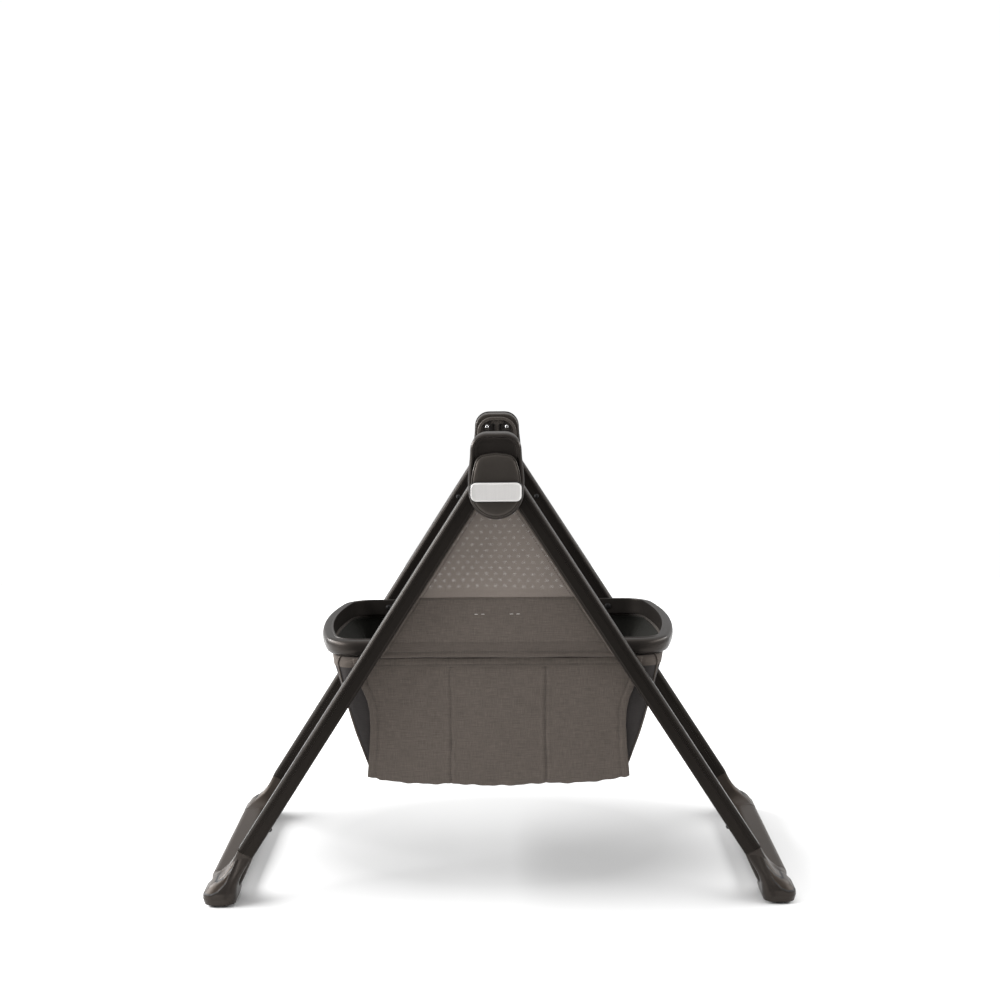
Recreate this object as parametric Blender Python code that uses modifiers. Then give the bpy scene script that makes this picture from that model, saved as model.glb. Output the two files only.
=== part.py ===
"""Folding A-frame bassinet stand with a storage basket hung between its legs.

Frame: metres, +Z up, origin on the floor under the middle of the stand.
X runs across the spread of the legs, Y from the near hub to the far hub.
Every piece is its own object. The two leg frames fold about axes through the
hubs, and the two halves of the basket ring fold about axes on the legs.
"""

import math

import bmesh
import bpy
from mathutils import Matrix, Vector

# ---------------------------------------------------------------- driving dimensions

CLEARANCE = 0.0003                 # air between two pieces that meet

# legs: four straight tubes in two planes, one plane at each hub
LEG_PLANE_Y = 0.230                # middle of a leg's depth, from the middle of the stand
LEG_SLOPE = 0.643                  # sideways run of a leg for each unit of height
LEG_ANGLE = math.atan(LEG_SLOPE)
LEG_HALF_WIDTH = 0.01325           # across the leg, in the plane of the A
LEG_HALF_DEPTH = 0.0175            # along Y
LEG_TOP_BEYOND_PIVOT = 0.012
PIVOT_X = 0.0230
PIVOT_Z = 0.660
FOOT_JOINT_Z = 0.077               # where a leg tube meets its foot, on the leg's centre line
FOOT_SCREW_Z = 0.1190
RIVET_Z = 0.588

# feet and floor bars
FOOT_OUTER_X = 0.463
FOOT_INNER_X = 0.414
FOOT_FRONT_Y = 0.275
FOOT_BACK_Y = 0.180
PAD_THICKNESS = 0.0020
BAR_LOW_Z, BAR_HIGH_Z = 0.0045, 0.0325
BAR_INNER_X, BAR_OUTER_X = 0.4200, 0.4600
BAR_WALL = 0.0025

# hubs
HUB_CENTRE_Z = 0.6465              # centre of the round lower end
HUB_ROUND_R = 0.041
HUB_TOP_Z = 0.7355
HUB_INNER_Y, HUB_OUTER_Y = 0.2040, 0.2630
HUB_CAVITY_Y = (0.2080, 0.2510)
HUB_CAVITY_LOW_Z = 0.669           # below this the sides are open for the legs to swing
HUB_RECESS_DEPTH = 0.005
COVER_OUTER_Y = 0.2725
BEZEL_OUTER_Y = 0.2755
BADGE_OUTER_Y = 0.2775
BADGE_LOW_Z, BADGE_HIGH_Z = 0.6340, 0.6625
BADGE_HALF_WIDTH = 0.0387
POST_TOP_Z = 0.7305
POST_HALF_WIDTH = 0.0345
POST_INNER_Y = 0.1930
POST_RIM_WIDTH = 0.0052             # round the sunk field
POST_FIELD_DEPTH = 0.0040
BEARING_PAD_HALF_WIDTH, BEARING_PAD_Z = 0.0180, (0.6300, 0.6750)
POST_SCREW_X, POST_SCREW_Z = 0.0174, 0.7138

# basket ring: one rounded rectangle with bowed ends, split into two hinged halves
RING_HALF_LENGTH = 0.290
RING_HALF_DEPTH = 0.204
RING_CORNER_R = 0.055
RING_BOW_R = 0.800
RING_WIDTH = 0.018
RING_HALF_HEIGHT = 0.013
RING_Z = 0.394
RING_PIVOT_X = PIVOT_X + LEG_SLOPE * (PIVOT_Z - RING_Z)
TONGUE_LENGTH = 0.080              # side-by-side lap at the middle of the ring
TONGUE_TIP = 0.015

# fabric
PANEL_Y = 0.220
PANEL_THICKNESS = 0.0025
PANEL_TOP_Z = 0.6380
MESH_LOW_Z = {"near": 0.4780, "far": 0.4200}   # the net reaches lower on the far side
PANEL_LOW_Z = 0.3830
BASKET_TOP_Z = RING_Z - RING_HALF_HEIGHT - 0.0005
BASKET_LOW_Z = 0.1820
BASKET_WALL = 0.003
POCKET_HALF_WIDTH = 0.206
POCKET_LOW_Z, POCKET_HIGH_Z = 0.1800, 0.3580
POCKET_FRONT_Y, POCKET_BACK_Y = 0.2120, 0.2060

SIDES = (("left", -1), ("right", 1))
ENDS = (("near", -1), ("far", 1))


# ---------------------------------------------------------------- scene and materials

for old in list(bpy.data.objects):
    bpy.data.objects.remove(old, do_unlink=True)

parts = bpy.data.collections.new("bassinet_stand")
cutters = bpy.data.collections.new("bassinet_stand_cutters")
bpy.context.scene.collection.children.link(parts)
bpy.context.scene.collection.children.link(cutters)


def make_material(name, colour, roughness, metallic=0.0):
    material = bpy.data.materials.new(name)
    material.use_nodes = True
    shader = material.node_tree.nodes["Principled BSDF"]
    shader.inputs["Base Color"].default_value = (*colour, 1.0)
    shader.inputs["Roughness"].default_value = roughness
    shader.inputs["Metallic"].default_value = metallic
    material.diffuse_color = (*colour, 1.0)
    return material


TUBE = make_material("dark_anodised_tube", (0.055, 0.048, 0.043), 0.38, 0.7)
PLASTIC = make_material("black_plastic", (0.028, 0.025, 0.023), 0.50)
SATIN_PLASTIC = make_material("brown_black_plastic", (0.045, 0.040, 0.036), 0.42)
STEEL = make_material("bright_steel", (0.70, 0.70, 0.70), 0.25, 1.0)
BLACK_STEEL = make_material("black_steel", (0.02, 0.02, 0.02), 0.35, 0.8)
BADGE_METAL = make_material("satin_silver", (0.78, 0.76, 0.74), 0.28, 1.0)
RUBBER = make_material("rubber", (0.02, 0.02, 0.02), 0.85)
FABRIC = make_material("taupe_fabric", (0.115, 0.098, 0.085), 0.95)
NET = make_material("taupe_net", (0.16, 0.14, 0.125), 0.90)


# ---------------------------------------------------------------- modelling helpers

def add_object(name, mesh, material, collection=parts, parent=None, location=(0, 0, 0),
               rotation=(0, 0, 0)):
    obj = bpy.data.objects.new(name, mesh)
    collection.objects.link(obj)
    if material is not None:
        mesh.materials.clear()
        mesh.materials.append(material)
    obj.parent = parent
    obj.location = location
    obj.rotation_euler = rotation
    return obj


def add_empty(name, location, parent=None):
    empty = bpy.data.objects.new(name, None)
    parts.objects.link(empty)
    empty.parent = parent
    empty.location = location
    return empty


def in_world(parent_chain):
    """Location that cancels the places of the parent empties, so a mesh keeps world places."""
    total = Vector((0, 0, 0))
    for empty in parent_chain:
        total -= empty.location
    return total


def round_off(mesh, angle_deg=35):
    mesh.shade_smooth()
    mesh.set_sharp_from_angle(angle=math.radians(angle_deg))


def extruded_outline(name, loops, low, high):
    """Mesh of a flat outline, with any holes, extruded along local Z from low to high."""
    curve = bpy.data.curves.new(name, "CURVE")
    curve.dimensions = "2D"
    curve.fill_mode = "BOTH"
    curve.extrude = (high - low) / 2
    for loop in loops:
        spline = curve.splines.new("POLY")
        spline.points.add(len(loop) - 1)
        for point, (x, y) in zip(spline.points, loop):
            point.co = (x, y, 0, 1)
        spline.use_cyclic_u = True
    guide = bpy.data.objects.new(name, curve)
    cutters.objects.link(guide)
    depsgraph = bpy.context.evaluated_depsgraph_get()
    mesh = bpy.data.meshes.new_from_object(guide.evaluated_get(depsgraph))
    bpy.data.objects.remove(guide, do_unlink=True)
    bpy.data.curves.remove(curve)
    bm = bmesh.new()
    bm.from_mesh(mesh)
    bmesh.ops.remove_doubles(bm, verts=bm.verts, dist=0.00001)
    bmesh.ops.dissolve_limit(bm, angle_limit=0.001, verts=bm.verts, edges=bm.edges)
    bmesh.ops.recalc_face_normals(bm, faces=bm.faces)
    bm.to_mesh(mesh)
    bm.free()
    mesh.transform(Matrix.Translation((0, 0, (low + high) / 2)))
    return mesh


def plate(name, loops, y_low, y_high):
    """Outline drawn in X and Z, extruded along Y between two distances."""
    mesh = extruded_outline(name, loops, -y_high, -y_low)
    mesh.transform(Matrix.Rotation(math.radians(90), 4, "X"))
    return mesh


def end_plate(name, loops, y_low, y_high, end):
    """A plate at one end of the stand: y_low and y_high are distances from the middle."""
    if end > 0:
        return plate(name, loops, y_low, y_high)
    return plate(name, loops, -y_high, -y_low)


def cylinder(name, radius, low, high, segments=16):
    mesh = bpy.data.meshes.new(name)
    bm = bmesh.new()
    bmesh.ops.create_cone(bm, cap_ends=True, segments=segments, radius1=radius, radius2=radius,
                          depth=high - low)
    bmesh.ops.translate(bm, verts=bm.verts, vec=(0, 0, (low + high) / 2))
    bm.to_mesh(mesh)
    bm.free()
    return mesh


def box(name, low, high):
    mesh = bpy.data.meshes.new(name)
    bm = bmesh.new()
    bmesh.ops.create_cube(bm, size=1)
    size = Vector(high) - Vector(low)
    bmesh.ops.scale(bm, verts=bm.verts, vec=size)
    bmesh.ops.translate(bm, verts=bm.verts, vec=(Vector(high) + Vector(low)) / 2)
    bm.to_mesh(mesh)
    bm.free()
    return mesh


def turned(name, profile, segments=14):
    """Solid turned about local Z from a profile of (radius, height), axis to axis."""
    mesh = bpy.data.meshes.new(name)
    bm = bmesh.new()
    verts = [bm.verts.new((r, 0, z)) for r, z in profile]
    edges = [bm.edges.new(pair) for pair in zip(verts, verts[1:])]
    bmesh.ops.spin(bm, geom=verts + edges, cent=(0, 0, 0), axis=(0, 0, 1),
                   angle=math.tau, steps=segments, use_merge=True)
    bmesh.ops.remove_doubles(bm, verts=bm.verts, dist=0.00001)
    bmesh.ops.recalc_face_normals(bm, faces=bm.faces)
    bm.to_mesh(mesh)
    bm.free()
    round_off(mesh)
    return mesh


def loft(name, sections):
    """Closed solid through rings of equally many points, capped at both ends."""
    mesh = bpy.data.meshes.new(name)
    bm = bmesh.new()
    rings = [[bm.verts.new(point) for point in section] for section in sections]
    for lower, upper in zip(rings, rings[1:]):
        for i in range(len(lower)):
            j = (i + 1) % len(lower)
            bm.faces.new((lower[i], lower[j], upper[j], upper[i]))
    bm.faces.new(rings[0])
    bm.faces.new(rings[-1])
    bmesh.ops.recalc_face_normals(bm, faces=bm.faces)
    bm.to_mesh(mesh)
    bm.free()
    round_off(mesh)
    return mesh


def boolean(obj, mesh, operation, location=(0, 0, 0), rotation=(0, 0, 0), parent=None):
    cutter = add_object(f"{obj.name}_{operation.lower()}_{len(obj.modifiers)}", mesh, None,
                        cutters, parent, location, rotation)
    cutter.hide_render = True
    cutter.display_type = "WIRE"
    modifier = obj.modifiers.new(operation.lower(), "BOOLEAN")
    modifier.operation = operation
    modifier.object = cutter


def bevel(obj, width, segments=2, angle_deg=40):
    modifier = obj.modifiers.new("bevel", "BEVEL")
    modifier.width = width
    modifier.segments = segments
    modifier.limit_method = "ANGLE"
    modifier.angle_limit = math.radians(angle_deg)


# ---------------------------------------------------------------- outlines

def arc(cx, cy, radius, start_deg, end_deg, steps):
    """Points along an arc, both ends included."""
    points = []
    for i in range(steps + 1):
        angle = math.radians(start_deg + (end_deg - start_deg) * i / steps)
        points.append((cx + radius * math.cos(angle), cy + radius * math.sin(angle)))
    return points


def rounded_rectangle(x_low, x_high, y_low, y_high, radius, steps=4):
    corners = ((x_high, y_high, 0, -1, -1), (x_low, y_high, 90, 1, -1),
               (x_low, y_low, 180, 1, 1), (x_high, y_low, 270, -1, 1))
    points = []
    for x, y, start, inward_x, inward_y in corners:
        points += arc(x + inward_x * radius, y + inward_y * radius, radius,
                      start, start + 90, steps)
    return points


def hub_outline(inset=0.0):
    """Tombstone with a round lower end and sides that narrow towards the top."""
    corner = 0.024 - inset
    top_half = 0.0380 - inset
    bottom = arc(0, HUB_CENTRE_Z, HUB_ROUND_R - inset, 180, 360, 18)
    right = [(0.0420 - inset, 0.6650), (0.0408 - inset, 0.6800), (0.0386 - inset, 0.7000)]
    top_centre_z = HUB_TOP_Z - inset - corner
    top_right = arc(top_half - corner, top_centre_z, corner, 0, 90, 6)
    top_left = arc(corner - top_half, top_centre_z, corner, 90, 180, 6)
    left = [(-x, z) for x, z in reversed(right)]
    return bottom + right + top_right + top_left + left


def cover_outline():
    """Cover plate: round lower end, sides drawn in towards a softly arched top."""
    lower = arc(0, HUB_CENTRE_Z, 0.0335, 180, 360, 16)
    right = [(0.0338, 0.6600), (0.0330, 0.6720), (0.0315, 0.6820)]
    top_right = arc(0.0130, 0.6860, 0.0180, 10, 75, 6)
    crown = [(0.0080, 0.7060), (0.0, 0.7065), (-0.0080, 0.7060)]
    top_left = [(-x, z) for x, z in reversed(top_right)]
    left = [(-x, z) for x, z in reversed(right)]
    return lower + right + top_right + crown + top_left + left


def post_outline(inset=0.0):
    """Flat post that the bassinet's bracket slides down over."""
    corner = 0.027 - inset
    half = POST_HALF_WIDTH - inset
    top_z = POST_TOP_Z - inset - corner
    low_z = 0.6080 + inset
    return ([(-half, low_z + 0.012), (-half + 0.012, low_z), (half - 0.012, low_z),
             (half, low_z + 0.012)]
            + arc(half - corner, top_z, corner, 0, 90, 7)
            + arc(corner - half, top_z, corner, 90, 180, 7))


def leg_outline(side):
    """Extruded leg section: (across, along Y). The outer edge has a wide soft chamfer,
    then two fine grooves, then the flat face, then a narrow inner chamfer."""
    w, d = LEG_HALF_WIDTH, LEG_HALF_DEPTH
    face = [(w, d - 0.0072), (w - 0.0010, d - 0.0048), (w - 0.0028, d - 0.0026),
            (w - 0.0053, d - 0.0012),
            (w - 0.0053, d - 0.0020), (w - 0.0060, d - 0.0020), (w - 0.0060, d - 0.0008),
            (w - 0.0096, d - 0.0004),
            (w - 0.0096, d - 0.0012), (w - 0.0103, d - 0.0012), (w - 0.0103, d),
            (-w + 0.0042, d), (-w + 0.0012, d - 0.0016), (-w, d - 0.0046)]
    back = [(u, -v) for u, v in reversed(face)]
    return [(side * u, v) for u, v in face + back]


def leg_bore(side, gap=0.0):
    """Hollow of the leg tube, or with a gap the spigot that fits inside it."""
    w, d = LEG_HALF_WIDTH, LEG_HALF_DEPTH
    points = rounded_rectangle(-w + 0.0022 + gap, w - 0.0032 - gap,
                               -d + 0.0038 + gap, d - 0.0038 - gap, 0.003, 3)
    return [(side * u, v) for u, v in points]


def bowed_end(half_length, half_depth, corner_r, bow_r, corner_steps=7, bow_steps=8):
    """Left end of a rounded rectangle with a bowed end, near side to far side."""
    corner_y = half_depth - corner_r
    reach = math.sqrt((bow_r - corner_r) ** 2 - corner_y ** 2)
    corner_x = half_length - bow_r + reach
    turn = math.degrees(math.asin(corner_y / (bow_r - corner_r)))
    near_corner = arc(-corner_x, -corner_y, corner_r, 270, 180 + turn, corner_steps)
    end = arc(bow_r - half_length, 0, bow_r, 180 + turn, 180 - turn, bow_steps)[1:-1]
    far_corner = arc(-corner_x, corner_y, corner_r, 180 - turn, 90, corner_steps)
    return near_corner + end + far_corner


def bowed_loop(half_length, half_depth, corner_r, bow_r):
    left = bowed_end(half_length, half_depth, corner_r, bow_r, 5, 4)
    right = [(-x, -y) for x, y in left]
    return left + right


# ---------------------------------------------------------------- fold axes

fold_axis = {}
ring_axis = {}
for side_name, side in SIDES:
    fold_axis[side_name] = add_empty(f"{side_name}_fold_axis", (side * PIVOT_X, 0, PIVOT_Z))
    offset = (side * (RING_PIVOT_X - PIVOT_X), 0, RING_Z - PIVOT_Z)
    ring_axis[side_name] = add_empty(f"{side_name}_ring_axis", offset, fold_axis[side_name])


def along_leg(z):
    """Distance along a leg's own axis, measured up from the pivot, of a height on it."""
    return (z - PIVOT_Z) / math.cos(LEG_ANGLE)


# ---------------------------------------------------------------- hubs

def hub_housing(end_name, end):
    housing = add_object(f"hub_housing_{end_name}",
                         end_plate("hub_housing", [hub_outline()], HUB_INNER_Y, HUB_OUTER_Y, end),
                         SATIN_PLASTIC)
    bevel(housing, 0.0022, 2)
    cavity_low, cavity_high = HUB_CAVITY_Y
    upper = [(x, z) for x, z in hub_outline(0.0035) if z > HUB_CAVITY_LOW_Z]
    upper += [(-0.0370, HUB_CAVITY_LOW_Z - 0.002), (0.0370, HUB_CAVITY_LOW_Z - 0.002)]
    boolean(housing, end_plate("cavity", [upper], cavity_low, cavity_high, end), "DIFFERENCE")
    boolean(housing, box("leg_way", (-0.1, min(end * cavity_low, end * cavity_high), 0.55),
                         (0.1, max(end * cavity_low, end * cavity_high), HUB_CAVITY_LOW_Z)),
            "DIFFERENCE")
    inner_low = sorted((end * 0.200, end * (cavity_low + 0.001)))
    boolean(housing, box("inner_wall_foot", (-0.1, inner_low[0], 0.55),
                         (0.1, inner_low[1], PANEL_TOP_Z + 0.002)), "DIFFERENCE")
    boolean(housing, end_plate("recess", [hub_outline(0.0045)],
                               HUB_OUTER_Y - HUB_RECESS_DEPTH, HUB_OUTER_Y + 0.01, end),
            "DIFFERENCE")
    for _, side in SIDES:
        boolean(housing, cylinder("pin_hole", 0.0033, -0.05, 0.05), "DIFFERENCE",
                (side * PIVOT_X, end * LEG_PLANE_Y, PIVOT_Z), (math.radians(90), 0, 0))


def hub_cover(end_name, end):
    floor_y = HUB_OUTER_Y - HUB_RECESS_DEPTH + CLEARANCE
    cover = add_object(f"hub_cover_{end_name}",
                       end_plate("hub_cover", [cover_outline()], floor_y, COVER_OUTER_Y, end),
                       SATIN_PLASTIC)
    bevel(cover, 0.0020, 2)
    bezel = rounded_rectangle(-BADGE_HALF_WIDTH - 0.0015, BADGE_HALF_WIDTH + 0.0015,
                              BADGE_LOW_Z - 0.0015, BADGE_HIGH_Z + 0.0015, 0.0100, 5)
    boolean(cover, end_plate("badge_bezel", [bezel], HUB_OUTER_Y + 0.0010, BEZEL_OUTER_Y, end),
            "UNION")


def badge(end_name, end):
    outline = rounded_rectangle(-BADGE_HALF_WIDTH, BADGE_HALF_WIDTH, BADGE_LOW_Z, BADGE_HIGH_Z,
                                0.0085, 5)
    plaque = add_object(f"badge_{end_name}",
                        end_plate("badge", [outline], BEZEL_OUTER_Y + CLEARANCE, BADGE_OUTER_Y,
                                  end), BADGE_METAL)
    bevel(plaque, 0.0006, 1)


def mount_post(end_name, end):
    outer_y = HUB_INNER_Y - CLEARANCE
    post = add_object(f"mount_post_{end_name}",
                      end_plate("mount_post", [post_outline()], POST_INNER_Y, outer_y, end),
                      SATIN_PLASTIC)
    bevel(post, 0.0015, 2)
    field = post_outline(POST_RIM_WIDTH)
    field_y = POST_INNER_Y + POST_FIELD_DEPTH
    boolean(post, end_plate("field", [field], POST_INNER_Y - 0.01, field_y, end), "DIFFERENCE")
    # the bassinet's bracket bears on a low pad in the middle of the field
    pad_low, pad_high = BEARING_PAD_Z
    pad = [(-BEARING_PAD_HALF_WIDTH, pad_low), (BEARING_PAD_HALF_WIDTH, pad_low),
           (BEARING_PAD_HALF_WIDTH, pad_high), (-BEARING_PAD_HALF_WIDTH, pad_high)]
    boolean(post, end_plate("bearing_pad", [pad], field_y - 0.0010, field_y + 0.0020, end),
            "UNION")
    for _, side in SIDES:
        slot = rounded_rectangle(side * 0.0063 - 0.0017, side * 0.0063 + 0.0017,
                                 0.7009, 0.7189, 0.0016, 4)
        boolean(post, end_plate("slot", [slot], POST_INNER_Y, POST_INNER_Y + 0.0080, end),
                "DIFFERENCE")
        hole_y = POST_INNER_Y + 0.0060
        boolean(post, cylinder("screw_hole", 0.0020, -0.0035, 0.0035, 12), "DIFFERENCE",
                (side * POST_SCREW_X, end * hole_y, POST_SCREW_Z), (math.radians(90), 0, 0))


def post_screws(end_name, end):
    """Pan-head screws seated on the floor of the post's sunk field."""
    head_y = POST_INNER_Y + POST_FIELD_DEPTH - CLEARANCE
    profile = [(0, 0.0022), (0.0018, 0.0020), (0.0030, 0.0012), (0.0033, 0.0), (0.0017, 0.0),
               (0.0017, -0.0050), (0, -0.0050)]
    for side_name, side in SIDES:
        add_object(f"post_screw_{end_name}_{side_name}", turned("post_screw", profile), STEEL,
                   location=(side * POST_SCREW_X, end * head_y, POST_SCREW_Z),
                   rotation=(math.radians(end * 90), 0, 0))


def leg_pins(end_name, end):
    """Headless pins through the housing walls, one for each leg."""
    for side_name, side in SIDES:
        pin = add_object(f"leg_pin_{end_name}_{side_name}",
                         cylinder("leg_pin", 0.0030, -0.0252, 0.0252),
                         STEEL, location=(side * PIVOT_X, end * 0.2296, PIVOT_Z),
                         rotation=(math.radians(90), 0, 0))
        round_off(pin.data)


def leg_stop(end_name, end):
    """Wedge between the leg heads that they rest against when the stand is open."""
    outline = [(-0.0085, 0.6575), (0.0085, 0.6575), (0.0052, 0.6620), (-0.0052, 0.6620)]
    low, high = HUB_CAVITY_Y
    wedge = add_object(f"leg_stop_{end_name}",
                       end_plate("leg_stop", [outline], low + CLEARANCE, high - CLEARANCE, end),
                       PLASTIC)
    bevel(wedge, 0.0004, 1)


for end_name, end in ENDS:
    hub_housing(end_name, end)
    hub_cover(end_name, end)
    badge(end_name, end)
    mount_post(end_name, end)
    post_screws(end_name, end)
    leg_pins(end_name, end)
    leg_stop(end_name, end)


# ---------------------------------------------------------------- legs

def leg_frame(side, end):
    """Location under the fold axis, and rotation, that stand a part along a leg."""
    return (0, end * LEG_PLANE_Y, 0), (0, -side * LEG_ANGLE, 0)


def leg(side_name, side, end_name, end):
    axis = fold_axis[side_name]
    location, rotation = leg_frame(side, end)
    mesh = extruded_outline("leg", [leg_outline(side), leg_bore(side)],
                            along_leg(FOOT_JOINT_Z), LEG_TOP_BEYOND_PIVOT)
    tube = add_object(f"leg_{end_name}_{side_name}", mesh, TUBE, parent=axis,
                      location=location, rotation=rotation)
    boolean(tube, cylinder("pin_hole", 0.0033, -0.03, 0.03), "DIFFERENCE",
            location, (math.radians(90), 0, 0), axis)
    across = Matrix.Rotation(-side * LEG_ANGLE, 4, "Y")
    screw_at = Vector(location) + across @ Vector((-side * LEG_HALF_WIDTH, 0,
                                                   along_leg(FOOT_SCREW_Z)))
    boolean(tube, cylinder("screw_hole", 0.0022, -0.006, 0.006, 12), "DIFFERENCE", screw_at,
            (0, math.radians(90) - side * LEG_ANGLE, 0), axis)
    for height, radius in ((RIVET_Z, 0.0022), (RING_Z, 0.0034)):
        at = Vector(location) + across @ Vector((0, -end * LEG_HALF_DEPTH, along_leg(height)))
        boolean(tube, cylinder("bolt_hole", radius, -0.006, 0.006), "DIFFERENCE", at,
                (math.radians(90), 0, 0), axis)


def leg_plug(side_name, side, end_name, end):
    """Moulded plug in the head of the leg tube, bored for the pin."""
    location, rotation = leg_frame(side, end)
    mesh = extruded_outline("leg_plug", [leg_bore(side, CLEARANCE)], -0.022,
                            LEG_TOP_BEYOND_PIVOT - 0.0005)
    plug = add_object(f"leg_plug_{end_name}_{side_name}", mesh, PLASTIC,
                      parent=fold_axis[side_name], location=location, rotation=rotation)
    boolean(plug, cylinder("pin_hole", 0.0033, -0.03, 0.03), "DIFFERENCE",
            location, (math.radians(90), 0, 0), fold_axis[side_name])


def leg_fastenings(side_name, side, end_name, end):
    axis = fold_axis[side_name]
    location, _ = leg_frame(side, end)
    across = Matrix.Rotation(-side * LEG_ANGLE, 4, "Y")
    rivet = [(0, 0.0024), (0.0024, 0.0022), (0.0040, 0.0012), (0.0044, CLEARANCE),
             (0.0019, CLEARANCE), (0.0019, -0.0030), (0, -0.0030)]
    at = Vector(location) + across @ Vector((0, -end * LEG_HALF_DEPTH, along_leg(RIVET_Z)))
    add_object(f"leg_rivet_{end_name}_{side_name}", turned("leg_rivet", rivet), BLACK_STEEL,
               parent=axis, location=at, rotation=(math.radians(end * 90), 0, 0))
    screw = [(0, 0.0030), (0.0022, 0.0026), (0.0034, 0.0014), (0.0036, CLEARANCE),
             (0.0019, CLEARANCE), (0.0019, -0.0050), (0, -0.0050)]
    at = Vector(location) + across @ Vector((-side * LEG_HALF_WIDTH, 0,
                                             along_leg(FOOT_SCREW_Z)))
    add_object(f"foot_screw_{end_name}_{side_name}", turned("foot_screw", screw), BLACK_STEEL,
               parent=axis, location=at,
               rotation=(0, -side * (math.radians(90) + LEG_ANGLE), 0))


# ---------------------------------------------------------------- feet and floor bars

def foot(side_name, side, end_name, end):
    """Elbow that carries the leg tube down into the floor bar."""
    axis = fold_axis[side_name]
    # height, inner and outer X, back and front Y, corner radius of each level section
    levels = ((PAD_THICKNESS + CLEARANCE, 0.4225, 0.4550, 0.1870, 0.2680, 0.012),
              (0.0050, 0.4165, 0.4610, 0.1810, 0.2735, 0.016),
              (0.0140, 0.4140, FOOT_OUTER_X, FOOT_BACK_Y, FOOT_FRONT_Y, 0.018),
              (0.0270, FOOT_INNER_X, 0.4625, FOOT_BACK_Y, 0.2735, 0.018),
              (0.0345, 0.4130, 0.4590, FOOT_BACK_Y, 0.2695, 0.018),
              (0.0410, 0.4100, 0.4510, 0.1850, 0.2640, 0.016),
              (0.0480, 0.4050, 0.4390, 0.1950, 0.2585, 0.013),
              (0.0560, 0.3985, 0.4290, 0.2040, 0.2535, 0.010),
              (0.0640, 0.3920, 0.4220, 0.2100, 0.2500, 0.007))
    sections = []
    for z, x_in, x_out, y_back, y_front, radius in levels:
        ring = rounded_rectangle(x_in, x_out, y_back, y_front, radius, 4)
        sections.append([Vector((side * x, end * y, z)) for x, y in ring])
    tilt = Matrix.Rotation(LEG_ANGLE, 4, "Y").inverted()
    head = rounded_rectangle(-LEG_HALF_WIDTH, LEG_HALF_WIDTH, -LEG_HALF_DEPTH,
                             LEG_HALF_DEPTH, 0.0055, 4)
    top = []
    for u, v in head:
        local = tilt @ Vector((u, v, along_leg(FOOT_JOINT_Z) - CLEARANCE))
        top.append(Vector((side * (PIVOT_X + local.x), end * (LEG_PLANE_Y + local.y),
                           PIVOT_Z + local.z)))
    sections.append(top)
    elbow = add_object(f"foot_{end_name}_{side_name}", loft("foot", sections), SATIN_PLASTIC,
                       parent=axis, location=in_world((axis,)))
    location, rotation = leg_frame(side, end)
    joint = along_leg(FOOT_JOINT_Z)
    spigot = extruded_outline("spigot", [leg_bore(side, CLEARANCE)], joint - 0.006,
                              joint + 0.055)
    boolean(elbow, spigot, "UNION", location, rotation, axis)
    across = Matrix.Rotation(-side * LEG_ANGLE, 4, "Y")
    at = Vector(location) + across @ Vector((-side * LEG_HALF_WIDTH, 0,
                                             along_leg(FOOT_SCREW_Z)))
    boolean(elbow, cylinder("screw_hole", 0.0022, -0.0075, 0.0075, 12), "DIFFERENCE", at,
            (0, math.radians(90) - side * LEG_ANGLE, 0), axis)


def foot_pad(side_name, side, end_name, end):
    axis = fold_axis[side_name]
    outline = rounded_rectangle(0.4240, 0.4530, 0.1900, 0.2620, 0.010, 4)
    outline = [(side * x, end * y) for x, y in outline]
    pad = add_object(f"foot_pad_{end_name}_{side_name}",
                     extruded_outline("foot_pad", [outline], 0, PAD_THICKNESS), RUBBER,
                     parent=axis, location=in_world((axis,)))
    bevel(pad, 0.0006, 1)


def floor_bar(side_name, side):
    axis = fold_axis[side_name]
    outer = rounded_rectangle(BAR_INNER_X, BAR_OUTER_X, BAR_LOW_Z, BAR_HIGH_Z, 0.0105, 5)
    inner = rounded_rectangle(BAR_INNER_X + BAR_WALL, BAR_OUTER_X - BAR_WALL,
                              BAR_LOW_Z + BAR_WALL, BAR_HIGH_Z - BAR_WALL, 0.0080, 4)
    loops = [[(side * x, z) for x, z in loop] for loop in (outer, inner)]
    half = FOOT_BACK_Y - CLEARANCE
    add_object(f"floor_bar_{side_name}", plate("floor_bar", loops, -half, half), TUBE,
               parent=axis, location=in_world((axis,)))


for side_name, side in SIDES:
    for end_name, end in ENDS:
        leg(side_name, side, end_name, end)
        leg_plug(side_name, side, end_name, end)
        leg_fastenings(side_name, side, end_name, end)
        foot(side_name, side, end_name, end)
        foot_pad(side_name, side, end_name, end)
    floor_bar(side_name, side)


# ---------------------------------------------------------------- basket ring

def ring_section():
    """Ring section: (outward from the inner wall, up). Flat inside, crowned outside."""
    w, h = RING_WIDTH, RING_HALF_HEIGHT
    return [(0, -h + 0.0015), (0.0015, -h), (w * 0.55, -h), (w * 0.82, -h * 0.72),
            (w * 0.97, -h * 0.32), (w, h * 0.10), (w * 0.96, h * 0.52), (w * 0.84, h * 0.84),
            (w * 0.66, h), (0.0015, h), (0, h - 0.0015)]


def ring_path():
    """Outer edge of the left half, near tongue to far tongue, and the way in at each point."""
    path = bowed_end(RING_HALF_LENGTH, RING_HALF_DEPTH, RING_CORNER_R, RING_BOW_R)
    path = [(TONGUE_TIP, -RING_HALF_DEPTH)] + path + [(TONGUE_TIP, RING_HALF_DEPTH)]
    inward = [Vector((0, 1))]
    for (xa, ya), (xb, yb) in zip(path, path[2:]):
        along = Vector((xb - xa, yb - ya)).normalized()
        inward.append(Vector((along.y, -along.x)))
    inward[1] = Vector((0, 1))
    inward[-1] = Vector((0, -1))
    inward.append(Vector((0, -1)))
    return path, inward


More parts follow.
